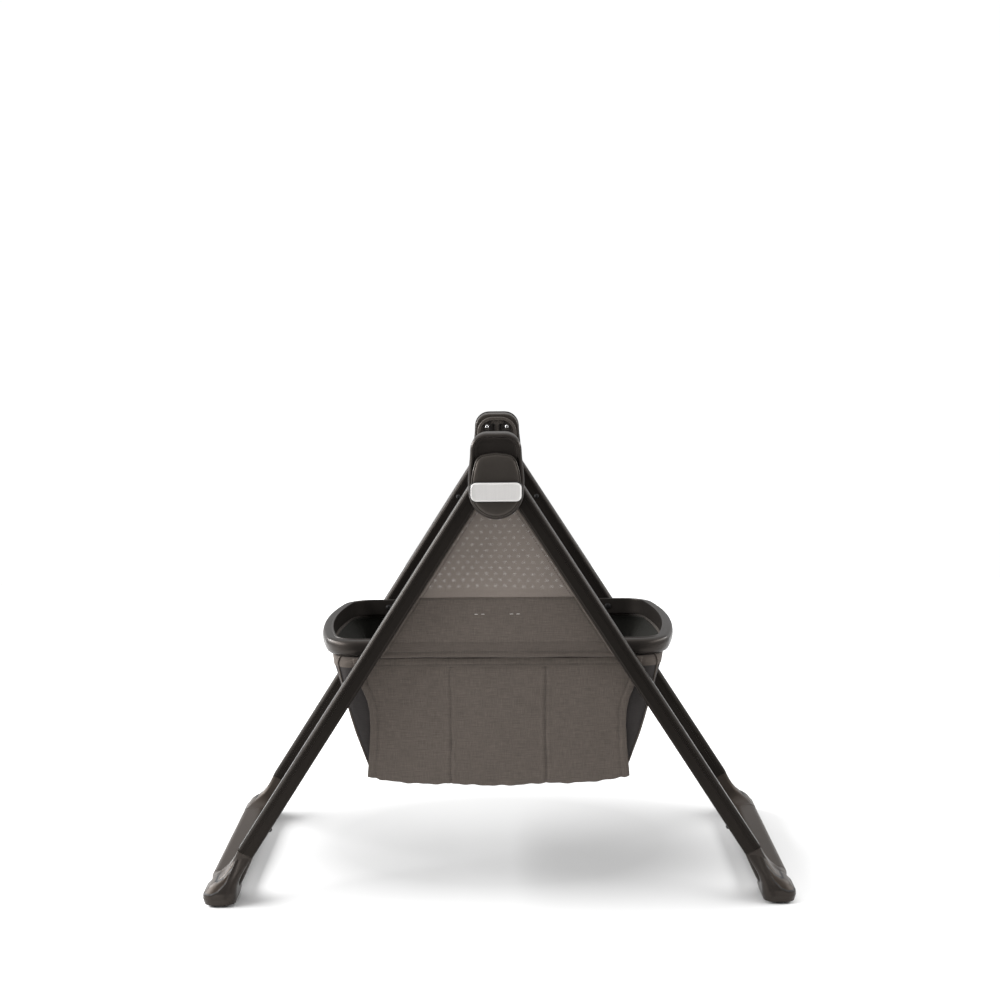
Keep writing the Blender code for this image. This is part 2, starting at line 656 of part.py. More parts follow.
def ring_half(side_name, side):
    """Half of the ring, ending in tongues that lap beside those of the other half."""
    sections = []
    for (x, y), way_in in zip(*ring_path()):
        section = []
        for out, up in ring_section():
            inset = RING_WIDTH - out
            section.append(Vector((-side * (x + way_in.x * inset), y + way_in.y * inset,
                                   RING_Z + up)))
        sections.append(section)
    chain = (fold_axis[side_name], ring_axis[side_name])
    half = add_object(f"ring_{side_name}", loft(f"ring_{side_name}", sections), SATIN_PLASTIC,
                      parent=ring_axis[side_name], location=in_world(chain))
    middle = RING_HALF_DEPTH - RING_WIDTH / 2
    # the left half keeps the outer lane of each lap and the right half the inner lane
    lane = (0.170, middle + CLEARANCE) if side < 0 else (middle - CLEARANCE, 0.230)
    x_range = (-TONGUE_LENGTH, 0.05) if side < 0 else (-0.05, TONGUE_LENGTH)
    for _, end in ENDS:
        y_range = sorted((end * lane[0], end * lane[1]))
        boolean(half, box("lane", (x_range[0], y_range[0], 0.30),
                          (x_range[1], y_range[1], 0.50)), "DIFFERENCE",
                in_world(chain), (0, 0, 0), ring_axis[side_name])
        for hole_x in (0, -side * RING_PIVOT_X):
            boolean(half, cylinder("pivot_hole", 0.0033, -0.02, 0.02), "DIFFERENCE",
                    (hole_x, end * middle, 0), (math.radians(90), 0, 0), ring_axis[side_name])


def ring_pins(end_name, end):
    """Rivet at the middle of the ring. Its shank stops at the joint of the two tongues."""
    shank = RING_WIDTH / 2
    profile = [(0, 0.0016), (0.0034, 0.0014), (0.0050, 0.0006), (0.0052, CLEARANCE),
               (0.0030, CLEARANCE), (0.0030, -shank + 2 * CLEARANCE),
               (0, -shank + 2 * CLEARANCE)]
    offset = Vector((RING_PIVOT_X, end * RING_HALF_DEPTH, 0))
    add_object(f"ring_pin_{end_name}", turned("ring_pin", profile), BLACK_STEEL,
               parent=ring_axis["left"], location=offset,
               rotation=(math.radians(-end * 90), 0, 0))


def ring_pivots(side_name, side, end_name, end):
    """Shoulder bolt from the inside of the ring, across the gap, into the leg."""
    ring_inner = RING_HALF_DEPTH - RING_WIDTH
    leg_inner = LEG_PLANE_Y - LEG_HALF_DEPTH
    seat = 0.0008                  # the ring's inner wall starts to curve beside the bolt
    tip = leg_inner + 0.0032
    length = tip - ring_inner
    shoulder = leg_inner - RING_HALF_DEPTH - 2 * CLEARANCE
    profile = [(0, seat + 0.0020), (0.0030, seat + 0.0019), (0.0052, seat + 0.0009),
               (0.0055, seat), (0.0030, seat), (0.0030, -RING_WIDTH - CLEARANCE),
               (0.0055, -RING_WIDTH - CLEARANCE),
               (0.0055, -RING_WIDTH - CLEARANCE - shoulder),
               (0.0030, -RING_WIDTH - CLEARANCE - shoulder), (0.0030, -length), (0, -length)]
    offset = Vector((side * (RING_PIVOT_X - PIVOT_X), end * ring_inner, RING_Z - PIVOT_Z))
    add_object(f"ring_bolt_{end_name}_{side_name}", turned("ring_bolt", profile), BLACK_STEEL,
               parent=fold_axis[side_name], location=offset,
               rotation=(math.radians(end * 90), 0, 0))


for side_name, side in SIDES:
    ring_half(side_name, side)
    for end_name, end in ENDS:
        ring_pivots(side_name, side, end_name, end)
for end_name, end in ENDS:
    ring_pins(end_name, end)


# ---------------------------------------------------------------- fabric

def leg_inner_x(z):
    """Half the space between the two legs of one plane at a height."""
    across = LEG_HALF_WIDTH / math.cos(LEG_ANGLE)
    return PIVOT_X + LEG_SLOPE * (PIVOT_Z - z) - across


def upper_panels(end_name, end):
    """Net above and plain fabric below, stretched between the legs of one plane."""
    gap = 0.0010
    middle_z = MESH_LOW_Z[end_name]
    for name, low_z, high_z, material in (("mesh_panel", middle_z, PANEL_TOP_Z, NET),
                                          ("fabric_panel", PANEL_LOW_Z,
                                           middle_z - CLEARANCE, FABRIC)):
        low_x = leg_inner_x(low_z) - gap
        high_x = leg_inner_x(high_z) - gap
        outline = [(-low_x, low_z), (low_x, low_z), (high_x, high_z), (-high_x, high_z)]
        add_object(f"{name}_{end_name}",
                   end_plate(name, [outline], PANEL_Y - PANEL_THICKNESS / 2,
                             PANEL_Y + PANEL_THICKNESS / 2, end), material)


def basket():
    """Open-topped bag hung from the underside of the ring."""
    # height, half length, half depth, corner radius and bow radius of each level section
    levels = ((BASKET_LOW_Z, 0.2060, 0.1900, 0.014, 4.0), (0.1920, 0.2080, 0.2000, 0.016, 4.0),
              (0.2200, 0.2160, 0.2025, 0.018, 1.7), (0.2600, 0.2290, 0.2030, 0.020, 0.80),
              (0.3000, 0.2430, 0.2032, 0.024, 0.56), (0.3400, 0.2580, 0.2025, 0.034, 0.58),
              (0.3700, 0.2690, 0.1995, 0.045, 0.72),
              (BASKET_TOP_Z - 0.0040, 0.2765, 0.1980, 0.050, RING_BOW_R),
              (BASKET_TOP_Z, 0.2765, 0.1980, 0.050, RING_BOW_R))
    mesh = bpy.data.meshes.new("basket")
    bm = bmesh.new()
    rings = []
    for z, half_length, half_depth, corner_r, bow_r in levels:
        loop = bowed_loop(half_length, half_depth, corner_r, bow_r)
        rings.append([bm.verts.new((x, y, z)) for x, y in loop])
    for lower, upper in zip(rings, rings[1:]):
        for i in range(len(lower)):
            j = (i + 1) % len(lower)
            bm.faces.new((lower[i], lower[j], upper[j], upper[i]))
    bm.faces.new(rings[0])
    bmesh.ops.recalc_face_normals(bm, faces=bm.faces)
    bm.to_mesh(mesh)
    bm.free()
    round_off(mesh, 60)
    bag = add_object("basket", mesh, FABRIC)
    shell = bag.modifiers.new("wall", "SOLIDIFY")
    shell.thickness = BASKET_WALL
    shell.offset = -1
    shell.use_even_offset = True


def pocket_panel():
    """Row of flat pockets sewn to the near wall of the basket."""
    outline = rounded_rectangle(-POCKET_HALF_WIDTH, POCKET_HALF_WIDTH, POCKET_LOW_Z,
                                POCKET_HIGH_Z, 0.004, 2)
    pockets = add_object("pocket_panel",
                         end_plate("pocket_panel", [outline], POCKET_BACK_Y, POCKET_FRONT_Y, -1),
                         FABRIC)
    bevel(pockets, 0.0012, 1)


for end_name, end in ENDS:
    upper_panels(end_name, end)
basket()
pocket_panel()
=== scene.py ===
import math

import bmesh
import bpy
import numpy as np
from mathutils import Matrix, Vector


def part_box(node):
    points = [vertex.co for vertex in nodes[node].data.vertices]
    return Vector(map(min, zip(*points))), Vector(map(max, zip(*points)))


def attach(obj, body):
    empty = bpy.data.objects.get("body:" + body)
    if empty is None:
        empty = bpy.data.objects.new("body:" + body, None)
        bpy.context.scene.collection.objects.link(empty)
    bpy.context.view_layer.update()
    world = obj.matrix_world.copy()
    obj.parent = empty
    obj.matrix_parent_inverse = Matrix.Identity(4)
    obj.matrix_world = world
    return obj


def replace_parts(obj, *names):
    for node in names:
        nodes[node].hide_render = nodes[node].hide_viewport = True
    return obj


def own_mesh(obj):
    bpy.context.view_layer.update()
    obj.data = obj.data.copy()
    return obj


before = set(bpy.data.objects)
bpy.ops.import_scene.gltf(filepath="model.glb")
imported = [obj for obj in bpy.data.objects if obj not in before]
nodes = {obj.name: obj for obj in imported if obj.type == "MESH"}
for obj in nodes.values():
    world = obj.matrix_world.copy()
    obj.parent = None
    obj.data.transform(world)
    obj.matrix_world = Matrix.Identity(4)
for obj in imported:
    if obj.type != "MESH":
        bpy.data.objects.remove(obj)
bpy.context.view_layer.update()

SIDES = (("left", -1), ("right", 1))
ENDS = (("near", -1), ("far", 1))


def add_object(name, data):
    obj = bpy.data.objects.new(name, data)
    bpy.context.scene.collection.objects.link(obj)
    return obj


# ---------------------------------------------------------------- camera

CAMERA_LENS_MM = 67.75
CAMERA_PLACE = (0.01245, -3.112, 0.9528)
CAMERA_TURN_DEG = (6.370, -0.432, -0.136)    # down, roll and to the side


def add_camera():
    data = bpy.data.cameras.new("camera")
    data.sensor_width = 36.0
    data.lens = CAMERA_LENS_MM
    data.clip_end = 60
    camera = add_object("camera", data)
    pitch, roll, yaw = (math.radians(a) for a in CAMERA_TURN_DEG)
    ahead = Vector((math.sin(yaw) * math.cos(pitch), math.cos(yaw) * math.cos(pitch),
                    -math.sin(pitch)))
    level = Vector((math.cos(yaw), -math.sin(yaw), 0))
    up = level.cross(ahead)
    across = math.cos(roll) * level + math.sin(roll) * up
    upright = -math.sin(roll) * level + math.cos(roll) * up
    turn = Matrix((across, upright, -ahead)).transposed().to_4x4()
    camera.matrix_world = Matrix.Translation(CAMERA_PLACE) @ turn
    bpy.context.scene.camera = camera


add_camera()


# ---------------------------------------------------------------- light and floor

WORLD_LIGHT, WORLD_SEEN = 0.50, 1.02         # on the stand, and as the camera sees it
FLOOR_PAINTED_SHADE, FLOOR_FAR = 0.55, 0.97           # painted shade on the paper under the stand, and the plain paper around it
FLAG_HALF_WIDTH, FLAG_FRONT_Y = 1.7, -3.6


def add_world():
    """White backdrop, brighter to the camera than as a light."""
    world = bpy.data.worlds.new("studio")
    bpy.context.scene.world = world
    world.use_nodes = True
    tree = world.node_tree
    back = tree.nodes["Background"]
    back.inputs["Color"].default_value = (1.0, 1.0, 1.0, 1.0)
    path = tree.nodes.new("ShaderNodeLightPath")
    level = tree.nodes.new("ShaderNodeMapRange")
    level.inputs["To Min"].default_value = WORLD_LIGHT
    level.inputs["To Max"].default_value = WORLD_SEEN
    tree.links.new(path.outputs["Is Camera Ray"], level.inputs["Value"])
    tree.links.new(level.outputs["Result"], back.inputs["Strength"])


def add_softbox(name, place, aim, size, power):
    data = bpy.data.lights.new(name, "AREA")
    data.shape = "RECTANGLE"
    data.size, data.size_y = size
    data.energy = power
    light = add_object(name, data)
    light.location = place
    toward = Vector(aim) - Vector(place)
    light.rotation_euler = toward.to_track_quat("-Z", "Y").to_euler()


add_world()
add_softbox("softbox_left", (-2.9, 0.5, 1.70), (0, 0.5, 0.35), (5.0, 1.1), 260)
add_softbox("softbox_right", (2.9, 0.5, 1.70), (0, 0.5, 0.35), (5.0, 0.6), 80)
add_softbox("softbox_top", (0, 0.6, 4.5), (0, 0.6, 0), (7.0, 7.0), 150)

bpy.context.scene.view_settings.view_transform = "Standard"


# ---------------------------------------------------------------- materials

WEAVE_PITCH = 0.0009


def new_material(name, roughness, metallic=0.0, specular=0.5):
    material = bpy.data.materials.new(name)
    material.use_nodes = True
    shader = material.node_tree.nodes["Principled BSDF"]
    shader.inputs["Roughness"].default_value = roughness
    shader.inputs["Metallic"].default_value = metallic
    shader.inputs["Specular IOR Level"].default_value = specular
    return material, material.node_tree, shader


def coordinates(tree, kind, scale):
    coords = tree.nodes.new("ShaderNodeTexCoord")
    mapping = tree.nodes.new("ShaderNodeMapping")
    mapping.inputs["Scale"].default_value = scale
    tree.links.new(coords.outputs[kind], mapping.inputs["Vector"])
    return mapping.outputs["Vector"]


def noise(tree, vector, detail=3.0, roughness=0.55):
    node = tree.nodes.new("ShaderNodeTexNoise")
    node.inputs["Scale"].default_value = 1.0
    node.inputs["Detail"].default_value = detail
    node.inputs["Roughness"].default_value = roughness
    tree.links.new(vector, node.inputs["Vector"])
    return node.outputs["Fac"]


def spread(tree, value, low, high, from_low=0.0, from_high=1.0):
    node = tree.nodes.new("ShaderNodeMapRange")
    node.inputs["From Min"].default_value = from_low
    node.inputs["From Max"].default_value = from_high
    node.inputs["To Min"].default_value = low
    node.inputs["To Max"].default_value = high
    tree.links.new(value, node.inputs["Value"])
    return node.outputs["Result"]


def combine(tree, operation, a, b):
    node = tree.nodes.new("ShaderNodeMath")
    node.operation = operation
    for socket, value in zip(node.inputs, (a, b)):
        if isinstance(value, (int, float)):
            socket.default_value = value
        else:
            tree.links.new(value, socket)
    return node.outputs[0]


def tinted(tree, shader, colour, factor):
    """Base colour times a varying factor."""
    node = tree.nodes.new("ShaderNodeVectorMath")
    node.operation = "SCALE"
    node.inputs[0].default_value = colour
    tree.links.new(factor, node.inputs["Scale"])
    tree.links.new(node.outputs[0], shader.inputs["Base Color"])


def bump(tree, shader, height, strength, distance):
    node = tree.nodes.new("ShaderNodeBump")
    node.inputs["Strength"].default_value = strength
    node.inputs["Distance"].default_value = distance
    tree.links.new(height, node.inputs["Height"])
    tree.links.new(node.outputs["Normal"], shader.inputs["Normal"])


def moulded(name, colour, roughness, specular=0.5, grain=0.00006, tint=(1, 1, 1)):
    """Moulded plastic: a fine spark grain, faint mottling of tone and gloss."""
    material, tree, shader = new_material(name, roughness, specular=specular)
    shader.inputs["Specular Tint"].default_value = (*tint, 1)
    fine = coordinates(tree, "Object", (1400, 1400, 1400))
    broad = coordinates(tree, "Object", (22, 22, 22))
    grain_height = noise(tree, fine, detail=2.0)
    mottle = noise(tree, broad, detail=4.0)
    tinted(tree, shader, colour, spread(tree, mottle, 0.86, 1.14))
    rough = spread(tree, mottle, roughness - 0.05, roughness + 0.06)
    tree.links.new(rough, shader.inputs["Roughness"])
    bump(tree, shader, grain_height, 0.5, grain)
    return material


def brushed(name, colour, roughness, metallic, specular, direction, tint=(1, 1, 1)):
    """Drawn or turned metal: fine lines along one direction."""
    material, tree, shader = new_material(name, roughness, metallic, specular)
    shader.inputs["Specular Tint"].default_value = (*tint, 1)
    lines = noise(tree, coordinates(tree, "Object", direction), detail=3.0)
    mottle = noise(tree, coordinates(tree, "Object", (15, 15, 15)), detail=3.0)
    shade = combine(tree, "MULTIPLY", spread(tree, lines, 0.93, 1.07),
                    spread(tree, mottle, 0.90, 1.10))
    tinted(tree, shader, colour, shade)
    tree.links.new(spread(tree, lines, roughness - 0.04, roughness + 0.05),
                   shader.inputs["Roughness"])
    bump(tree, shader, lines, 0.08, 0.00001)
    return material


def woven(name, colour, contrast=1.0, sheen=0.12):
    """Linen-look plain weave on UVs in metres: uneven threads both ways."""
    material, tree, shader = new_material(name, 0.92, specular=0.25)
    shader.inputs["Sheen Weight"].default_value = sheen
    shader.inputs["Sheen Roughness"].default_value = 0.5
    weft = noise(tree, coordinates(tree, "UV", (45, 1050, 1)), detail=3.0, roughness=0.7)
    warp = noise(tree, coordinates(tree, "UV", (1050, 60, 1)), detail=3.0, roughness=0.7)
    cloud = noise(tree, coordinates(tree, "UV", (16, 16, 1)), detail=3.0)
    reach = 0.42 * contrast
    shade = combine(tree, "MULTIPLY", spread(tree, weft, 1 - reach, 1 + reach),
                    spread(tree, warp, 1 - reach * 0.8, 1 + reach * 0.8))
    shade = combine(tree, "MULTIPLY", shade, spread(tree, cloud, 0.92, 1.08))
    tinted(tree, shader, colour, shade)
    waves = []
    for axis in ("X", "Y"):
        wave = tree.nodes.new("ShaderNodeTexWave")
        wave.bands_direction = axis
        wave.inputs["Scale"].default_value = 1.0
        wave.inputs["Distortion"].default_value = 0.6
        wave.inputs["Detail"].default_value = 1.0
        scale = (0.314 / WEAVE_PITCH, 0.314 / WEAVE_PITCH, 1)
        tree.links.new(coordinates(tree, "UV", scale), wave.inputs["Vector"])
        waves.append(wave.outputs["Fac"])
    threads = combine(tree, "ADD", combine(tree, "MULTIPLY", waves[0], waves[1]),
                      combine(tree, "MULTIPLY", combine(tree, "ADD", weft, warp), 0.8))
    bump(tree, shader, threads, 0.55, 0.00028)
    return material


BROWN = (1.0, 0.86, 0.76)
TUBE = brushed("tube", (0.0120, 0.0104, 0.0092), 0.33, 0.0, 0.10, (40, 900, 900), BROWN)
SATIN = moulded("satin_plastic", (0.0165, 0.0145, 0.0132), 0.34, 0.26, tint=BROWN)
HUB = moulded("hub_plastic", (0.0300, 0.0265, 0.0235), 0.36, 0.30, tint=BROWN)
POST = moulded("post_plastic", (0.0520, 0.0460, 0.0410), 0.42, 0.30, tint=BROWN)
FOOT = moulded("foot_plastic", (0.0200, 0.0172, 0.0155), 0.34, 0.28, tint=BROWN)
BAR = moulded("bar_finish", (0.0340, 0.0272, 0.0225), 0.40, 0.26, tint=BROWN)
BLACK = moulded("black_plastic", (0.008, 0.0075, 0.0075), 0.5, 0.3)
STEEL = brushed("bright_steel", (0.72, 0.72, 0.72), 0.24, 1.0, 0.5, (600, 600, 600))
BLACK_STEEL = brushed("black_steel", (0.022, 0.021, 0.021), 0.34, 0.6, 0.5, (500, 500, 500))
BADGE = brushed("badge_metal", (0.70, 0.685, 0.67), 0.36, 0.3, 0.5, (1200, 30, 30))
RUBBER = moulded("rubber", (0.016, 0.015, 0.015), 0.85, 0.3)
CLOTH = woven("fabric", (0.0865, 0.0715, 0.0610), 1.35)
LINING = woven("lining", (0.0085, 0.0082, 0.0062), 0.8, sheen=0.02)
# a darker copy of the fabric, for painted shade on the bag's ends
SHADED_END_CLOTH = woven("shaded_end_fabric", (0.036, 0.032, 0.031), 0.8, sheen=0.04)
# a darker copy of the fabric, for painted shade on the upper panel's low band above the ring
SHADED_BAND_CLOTH = woven("shaded_band_fabric", (0.076, 0.0625, 0.0535), 1.1)
# a darker copy of the fabric, for painted shade on the band inside the basket
SHADED_INNER_CLOTH = woven("shaded_inner_fabric", (0.052, 0.044, 0.038), 0.8, sheen=0.04)
NET = woven("net", (0.180, 0.154, 0.135), 0.4)
THREAD = woven("thread", (0.070, 0.060, 0.052), 0.4)
PALE_THREAD = woven("pale_thread", (0.50, 0.47, 0.44), 0.3)

# the hub covers, badges, feet, ring and soft solids are replaced by detailed pieces below
for stem, material in (("hub_housing", HUB), ("mount_post", POST), ("post_screw", STEEL),
                       ("leg_pin", STEEL), ("leg_stop", BLACK), ("leg_plug", BLACK),
                       ("leg_rivet", BLACK_STEEL), ("foot_screw", BLACK_STEEL),
                       ("foot_pad", RUBBER), ("floor_bar", BAR), ("ring_bolt", BLACK_STEEL),
                       ("ring_pin", BLACK_STEEL), ("leg", TUBE)):
    family = [stem] + [f"{stem}_{word}" for word in ("near", "far", "left", "right")]
    family += [f"{stem}_{end_name}_{side_name}" for end_name, _ in ENDS for side_name, _ in SIDES]
    for name in family:
        if name in nodes:
            nodes[name].data.materials.clear()
            nodes[name].data.materials.append(material)

for obj in nodes.values():
    crisp = obj.modifiers.new("crisp", "EDGE_SPLIT")
    crisp.split_angle = math.radians(28)


def add_floor():
    """Paper sweep with painted shade: a little darker under the stand than around it."""
    mesh = bpy.data.meshes.new("floor")
    bm = bmesh.new()
    bmesh.ops.create_circle(bm, cap_ends=True, segments=96, radius=3.4)
    bm.to_mesh(mesh)
    bm.free()
    floor = add_object("floor", mesh)
    material, tree, shader = new_material("floor", 0.8, specular=0.2)
    around = tree.nodes.new("ShaderNodeVectorMath")
    around.operation = "LENGTH"
    place = tree.nodes.new("ShaderNodeMapping")
    place.inputs["Location"].default_value = (0, -0.10, 0)
    place.inputs["Scale"].default_value = (1.0, 1.1, 1.0)
    coords = tree.nodes.new("ShaderNodeTexCoord")
    tree.links.new(coords.outputs["Object"], place.inputs["Vector"])
    tree.links.new(place.outputs["Vector"], around.inputs[0])
    # painted shade of the stand, fading out across the floor
    shade = spread(tree, around.outputs["Value"], FLOOR_PAINTED_SHADE, FLOOR_FAR, 0.28, 0.68)
    tinted(tree, shader, (1, 1, 1), shade)
    mesh.materials.append(material)


def add_flag(name, low, high):
    """Dark card that only reflections see, as a studio's flags. Low and high are its edges."""
    mesh = bpy.data.meshes.new(name)
    corners = [(side * FLAG_HALF_WIDTH, y, z) for side, (y, z) in
               ((-1, low), (1, low), (1, high), (-1, high))]
    mesh.from_pydata(corners, [], [(0, 1, 2, 3)])
    card = add_object(name, mesh)
    material, _, shader = new_material(name, 0.9, specular=0.0)
    shader.inputs["Base Color"].default_value = (0.03, 0.03, 0.03, 1)
    mesh.materials.append(material)
    card.visible_camera = False
    card.visible_diffuse = False
    card.visible_shadow = False
    card.visible_transmission = False


add_floor()
add_flag("flag_front", (FLAG_FRONT_Y, 0.0), (FLAG_FRONT_Y, 1.6))
add_flag("flag_floor", (FLAG_FRONT_Y, 0.004), (-0.9, 0.004))


# ---------------------------------------------------------------- mesh helpers

def piece(name, vertices, faces, material, body, uvs=None, sharp=None):
    """A mesh object that rides on a body, smooth apart from edges over the sharp angle."""
    mesh = bpy.data.meshes.new(name)
    mesh.from_pydata([tuple(v) for v in vertices], [], [tuple(f) for f in faces])
    mesh.materials.append(material)
    mesh.shade_smooth()
    if sharp is not None:
        mesh.set_sharp_from_angle(angle=math.radians(sharp))
    if uvs is not None:
        layer = mesh.uv_layers.new(name="UVMap")
        index = np.empty(len(mesh.loops), int)
        mesh.loops.foreach_get("vertex_index", index)
        layer.data.foreach_set("uv", np.asarray(uvs, float)[index].ravel())
    obj = add_object(name, mesh)
    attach(obj, body)
    return obj


def path_steps(path):
    """Distance along a path at each of its points."""
    return np.concatenate(([0], np.cumsum(np.linalg.norm(np.diff(path, axis=0), axis=1))))


def unit(vectors):
    return vectors / np.linalg.norm(vectors, axis=1)[:, None]


def grid_faces(rows, columns, closed=False):
    """Quads of a rows x columns grid of points, which may close round its columns."""
    faces = []
    for r in range(rows - 1):
        for c in range(columns if closed else columns - 1):
            d = (c + 1) % columns
            faces.append((r * columns + c, r * columns + d,
                          (r + 1) * columns + d, (r + 1) * columns + c))
    return faces


def shifted(faces, base):
    """The same faces, on points that start at base."""
    return [tuple(base + i for i in face) for face in faces]


def end_caps(rows, columns):
    """The two end faces of a closed grid."""
    return [tuple(range(columns)), tuple(range((rows - 1) * columns, rows * columns))]


def line_at(x, y, z):
    """Points from coordinates, each an array or one value."""
    return np.stack(np.broadcast_arrays(x, y, z), -1)


def sheet_piece(name, points, uvs, material, thickness, closed=False):
    """A cloth sheet with a wall, from a rows x columns x 3 array of points."""
    rows, columns = points.shape[:2]
    obj = piece(name, points.reshape(-1, 3), grid_faces(rows, columns, closed), material,
                "hubs", uvs.reshape(-1, 2))
    wall = obj.modifiers.new("wall", "SOLIDIFY")
    wall.thickness = thickness
    wall.offset = 0
    return obj


def piping(name, path, radius):
    """A round cord of the cloth along a path; UVs run along it in metres."""
    count, sides = len(path), 8
    tangent = unit(np.gradient(path, axis=0))
    up = np.tile((0.0, 0.0, 1.0), (count, 1))
    up = unit(up - (up * tangent).sum(1)[:, None] * tangent)
    beside = np.cross(tangent, up)
    angles = np.arange(sides) * 2 * math.pi / sides
    points = (path[:, None] + radius * np.sin(angles)[None, :, None] * up[:, None]
              + radius * np.cos(angles)[None, :, None] * beside[:, None])
    uvs = np.stack(np.broadcast_arrays(path_steps(path)[:, None],
                                       (angles * radius)[None, :]), -1)
    first, last = end_caps(count, sides)
    faces = grid_faces(count, sides, True) + [first, last[::-1]]
    return piece(name, points.reshape(-1, 3), faces, CLOTH, "hubs",
                 uvs.reshape(-1, 2))


def stitches(name, lines, out, material=THREAD, length=0.0030, pitch=0.0042, width=0.00045):
    """Rows of short raised threads along lines of points; out is the way they stand."""
    out = np.asarray(out, float)
    profile = ((0.0, 0.25), (0.25, 1.0), (0.75, 1.0), (1.0, 0.25))
    sides = 6
    first, last = end_caps(len(profile), sides)
    thread_faces = grid_faces(len(profile), sides, True) + [first[::-1], last]
    vertices, faces, uvs = [], [], []
    for line in lines:
        steps = path_steps(line)
        for k in range(int(steps[-1] // pitch)):
            at = (k + 0.5) * pitch
            a, b = (np.array([np.interp(s, steps, line[:, i]) for i in range(3)])
                    for s in (at - length / 2, at + length / 2))
            along = (b - a) / np.linalg.norm(b - a)
            beside = np.cross(along, out)
            base = len(vertices)
            for t, size in profile:
                centre = a + (b - a) * t
                for turn in range(sides):
                    angle = turn * math.pi / 3
                    vertices.append(centre + size * width * (math.cos(angle) * beside
                                                             + 0.7 * math.sin(angle) * out))
                    uvs.append((at + t * length, turn * 0.0002))
            faces += shifted(thread_faces, base)
    return piece(name, vertices, faces, material, "hubs", uvs)


def ripple(x, z, seed, scale):
    """Smooth random waves in a plane, about -1 to 1."""
    rng = np.random.default_rng(seed)
    total = 0
    for _ in range(7):
        angle = rng.uniform(0, math.pi)
        length = scale * rng.uniform(0.6, 1.8)
        phase = rng.uniform(0, 2 * math.pi)
        total = total + np.sin(2 * math.pi * (x * math.cos(angle) + z * math.sin(angle))
                               / length + phase)
    return total / 4.0


def smooth_step(t):
    t = np.clip(t, 0, 1)
    return t * t * (3 - 2 * t)


def outward(obj):
    """Face normals that all point out of a closed shape."""
    bm = bmesh.new()
    bm.from_mesh(obj.data)
    bmesh.ops.recalc_face_normals(bm, faces=bm.faces)
    bm.to_mesh(obj.data)
    bm.free()
    return obj


def arc(cx, cy, radius, start_deg, end_deg, steps=16):
    angles = np.radians(np.linspace(start_deg, end_deg, steps + 1))
    return [(cx + radius * math.cos(a), cy + radius * math.sin(a)) for a in angles]


def smooth_loop(points, count=240, passes=4):
    """Closed outline with evenly spaced points and its corners eased."""
    loop = np.array(points + points[:1])
    steps = path_steps(loop)
    at = np.linspace(0, steps[-1], count, endpoint=False)
    loop = np.stack([np.interp(at, steps, loop[:, k]) for k in (0, 1)], -1)
    for _ in range(passes):
        loop = (np.roll(loop, 1, 0) + 2 * loop + np.roll(loop, -1, 0)) / 4
    return loop


def nested(name, outline, profile, end, material, bulge=None):
    """A plate built from inward steps of one outline; profile lists (inset, depth along Y)."""
    along = unit(np.roll(outline, -1, 0) - np.roll(outline, 1, 0))
    way_in = np.stack((-along[:, 1], along[:, 0]), -1)
    middle = outline.mean(0)
    rings = [(outline + way_in * inset, depth) for inset, depth in profile]
    last, depth = rings[-1]
    rings += [(middle + (last - middle) * scale, depth) for scale in (0.8, 0.6, 0.4, 0.2)]
    points = []
    for loop, depth in rings:
        y = depth + (bulge(loop[:, 0], loop[:, 1]) if bulge else 0 * loop[:, 0])
        points.append(np.stack((loop[:, 0], end * y, loop[:, 1]), -1))
    count = len(outline)
    y = depth + (bulge(*middle) if bulge else 0)
    vertices = np.concatenate(points + [[(middle[0], end * y, middle[1])]])
    faces = grid_faces(len(rings), count, True)
    base = (len(rings) - 1) * count
    faces += [(base + c, base + (c + 1) % count, base + count) for c in range(count)]
    return outward(piece(name, vertices, faces, material, "hubs", vertices[:, [0, 2]]))


# ---------------------------------------------------------------- hubs

def hub_outline(grow=0.0):
    """Tombstone with a round lower end and sides that narrow towards the top."""
    right = [(0.0420 + grow, 0.6650), (0.0408 + grow, 0.6800), (0.0386 + grow, 0.7000)]
    top = (arc(0.0140, 0.7115, 0.0240 + grow, 0, 90)
           + arc(-0.0140, 0.7115, 0.0240 + grow, 90, 180))
    return (arc(0, 0.6465, 0.0410 + grow, 180, 360, 40) + right + top
            + [(-x, z) for x, z in reversed(right)])


def cover_outline():
    """Cover: fills the housing's round lower end and narrows to a softly arched top."""
    right = [(0.0384, 0.6560), (0.0376, 0.6680), (0.0358, 0.6790), (0.0338, 0.6860)]
    corner = arc(0.0150, 0.6868, 0.0180, 5, 78)
    crown = [(0.0080, 0.7060), (0.0, 0.7067), (-0.0080, 0.7060)]
    return (arc(0, 0.6465, 0.0380, 180, 360, 40) + right + corner + crown
            + [(-x, z) for x, z in reversed(corner)] + [(-x, z) for x, z in reversed(right)])


def rounded_box(half_x, z_low, z_high, radius):
    x = half_x - radius
    return (arc(x, z_low + radius, radius, 270, 360) + arc(x, z_high - radius, radius, 0, 90)
            + arc(-x, z_high - radius, radius, 90, 180)
            + arc(-x, z_low + radius, radius, 180, 270))


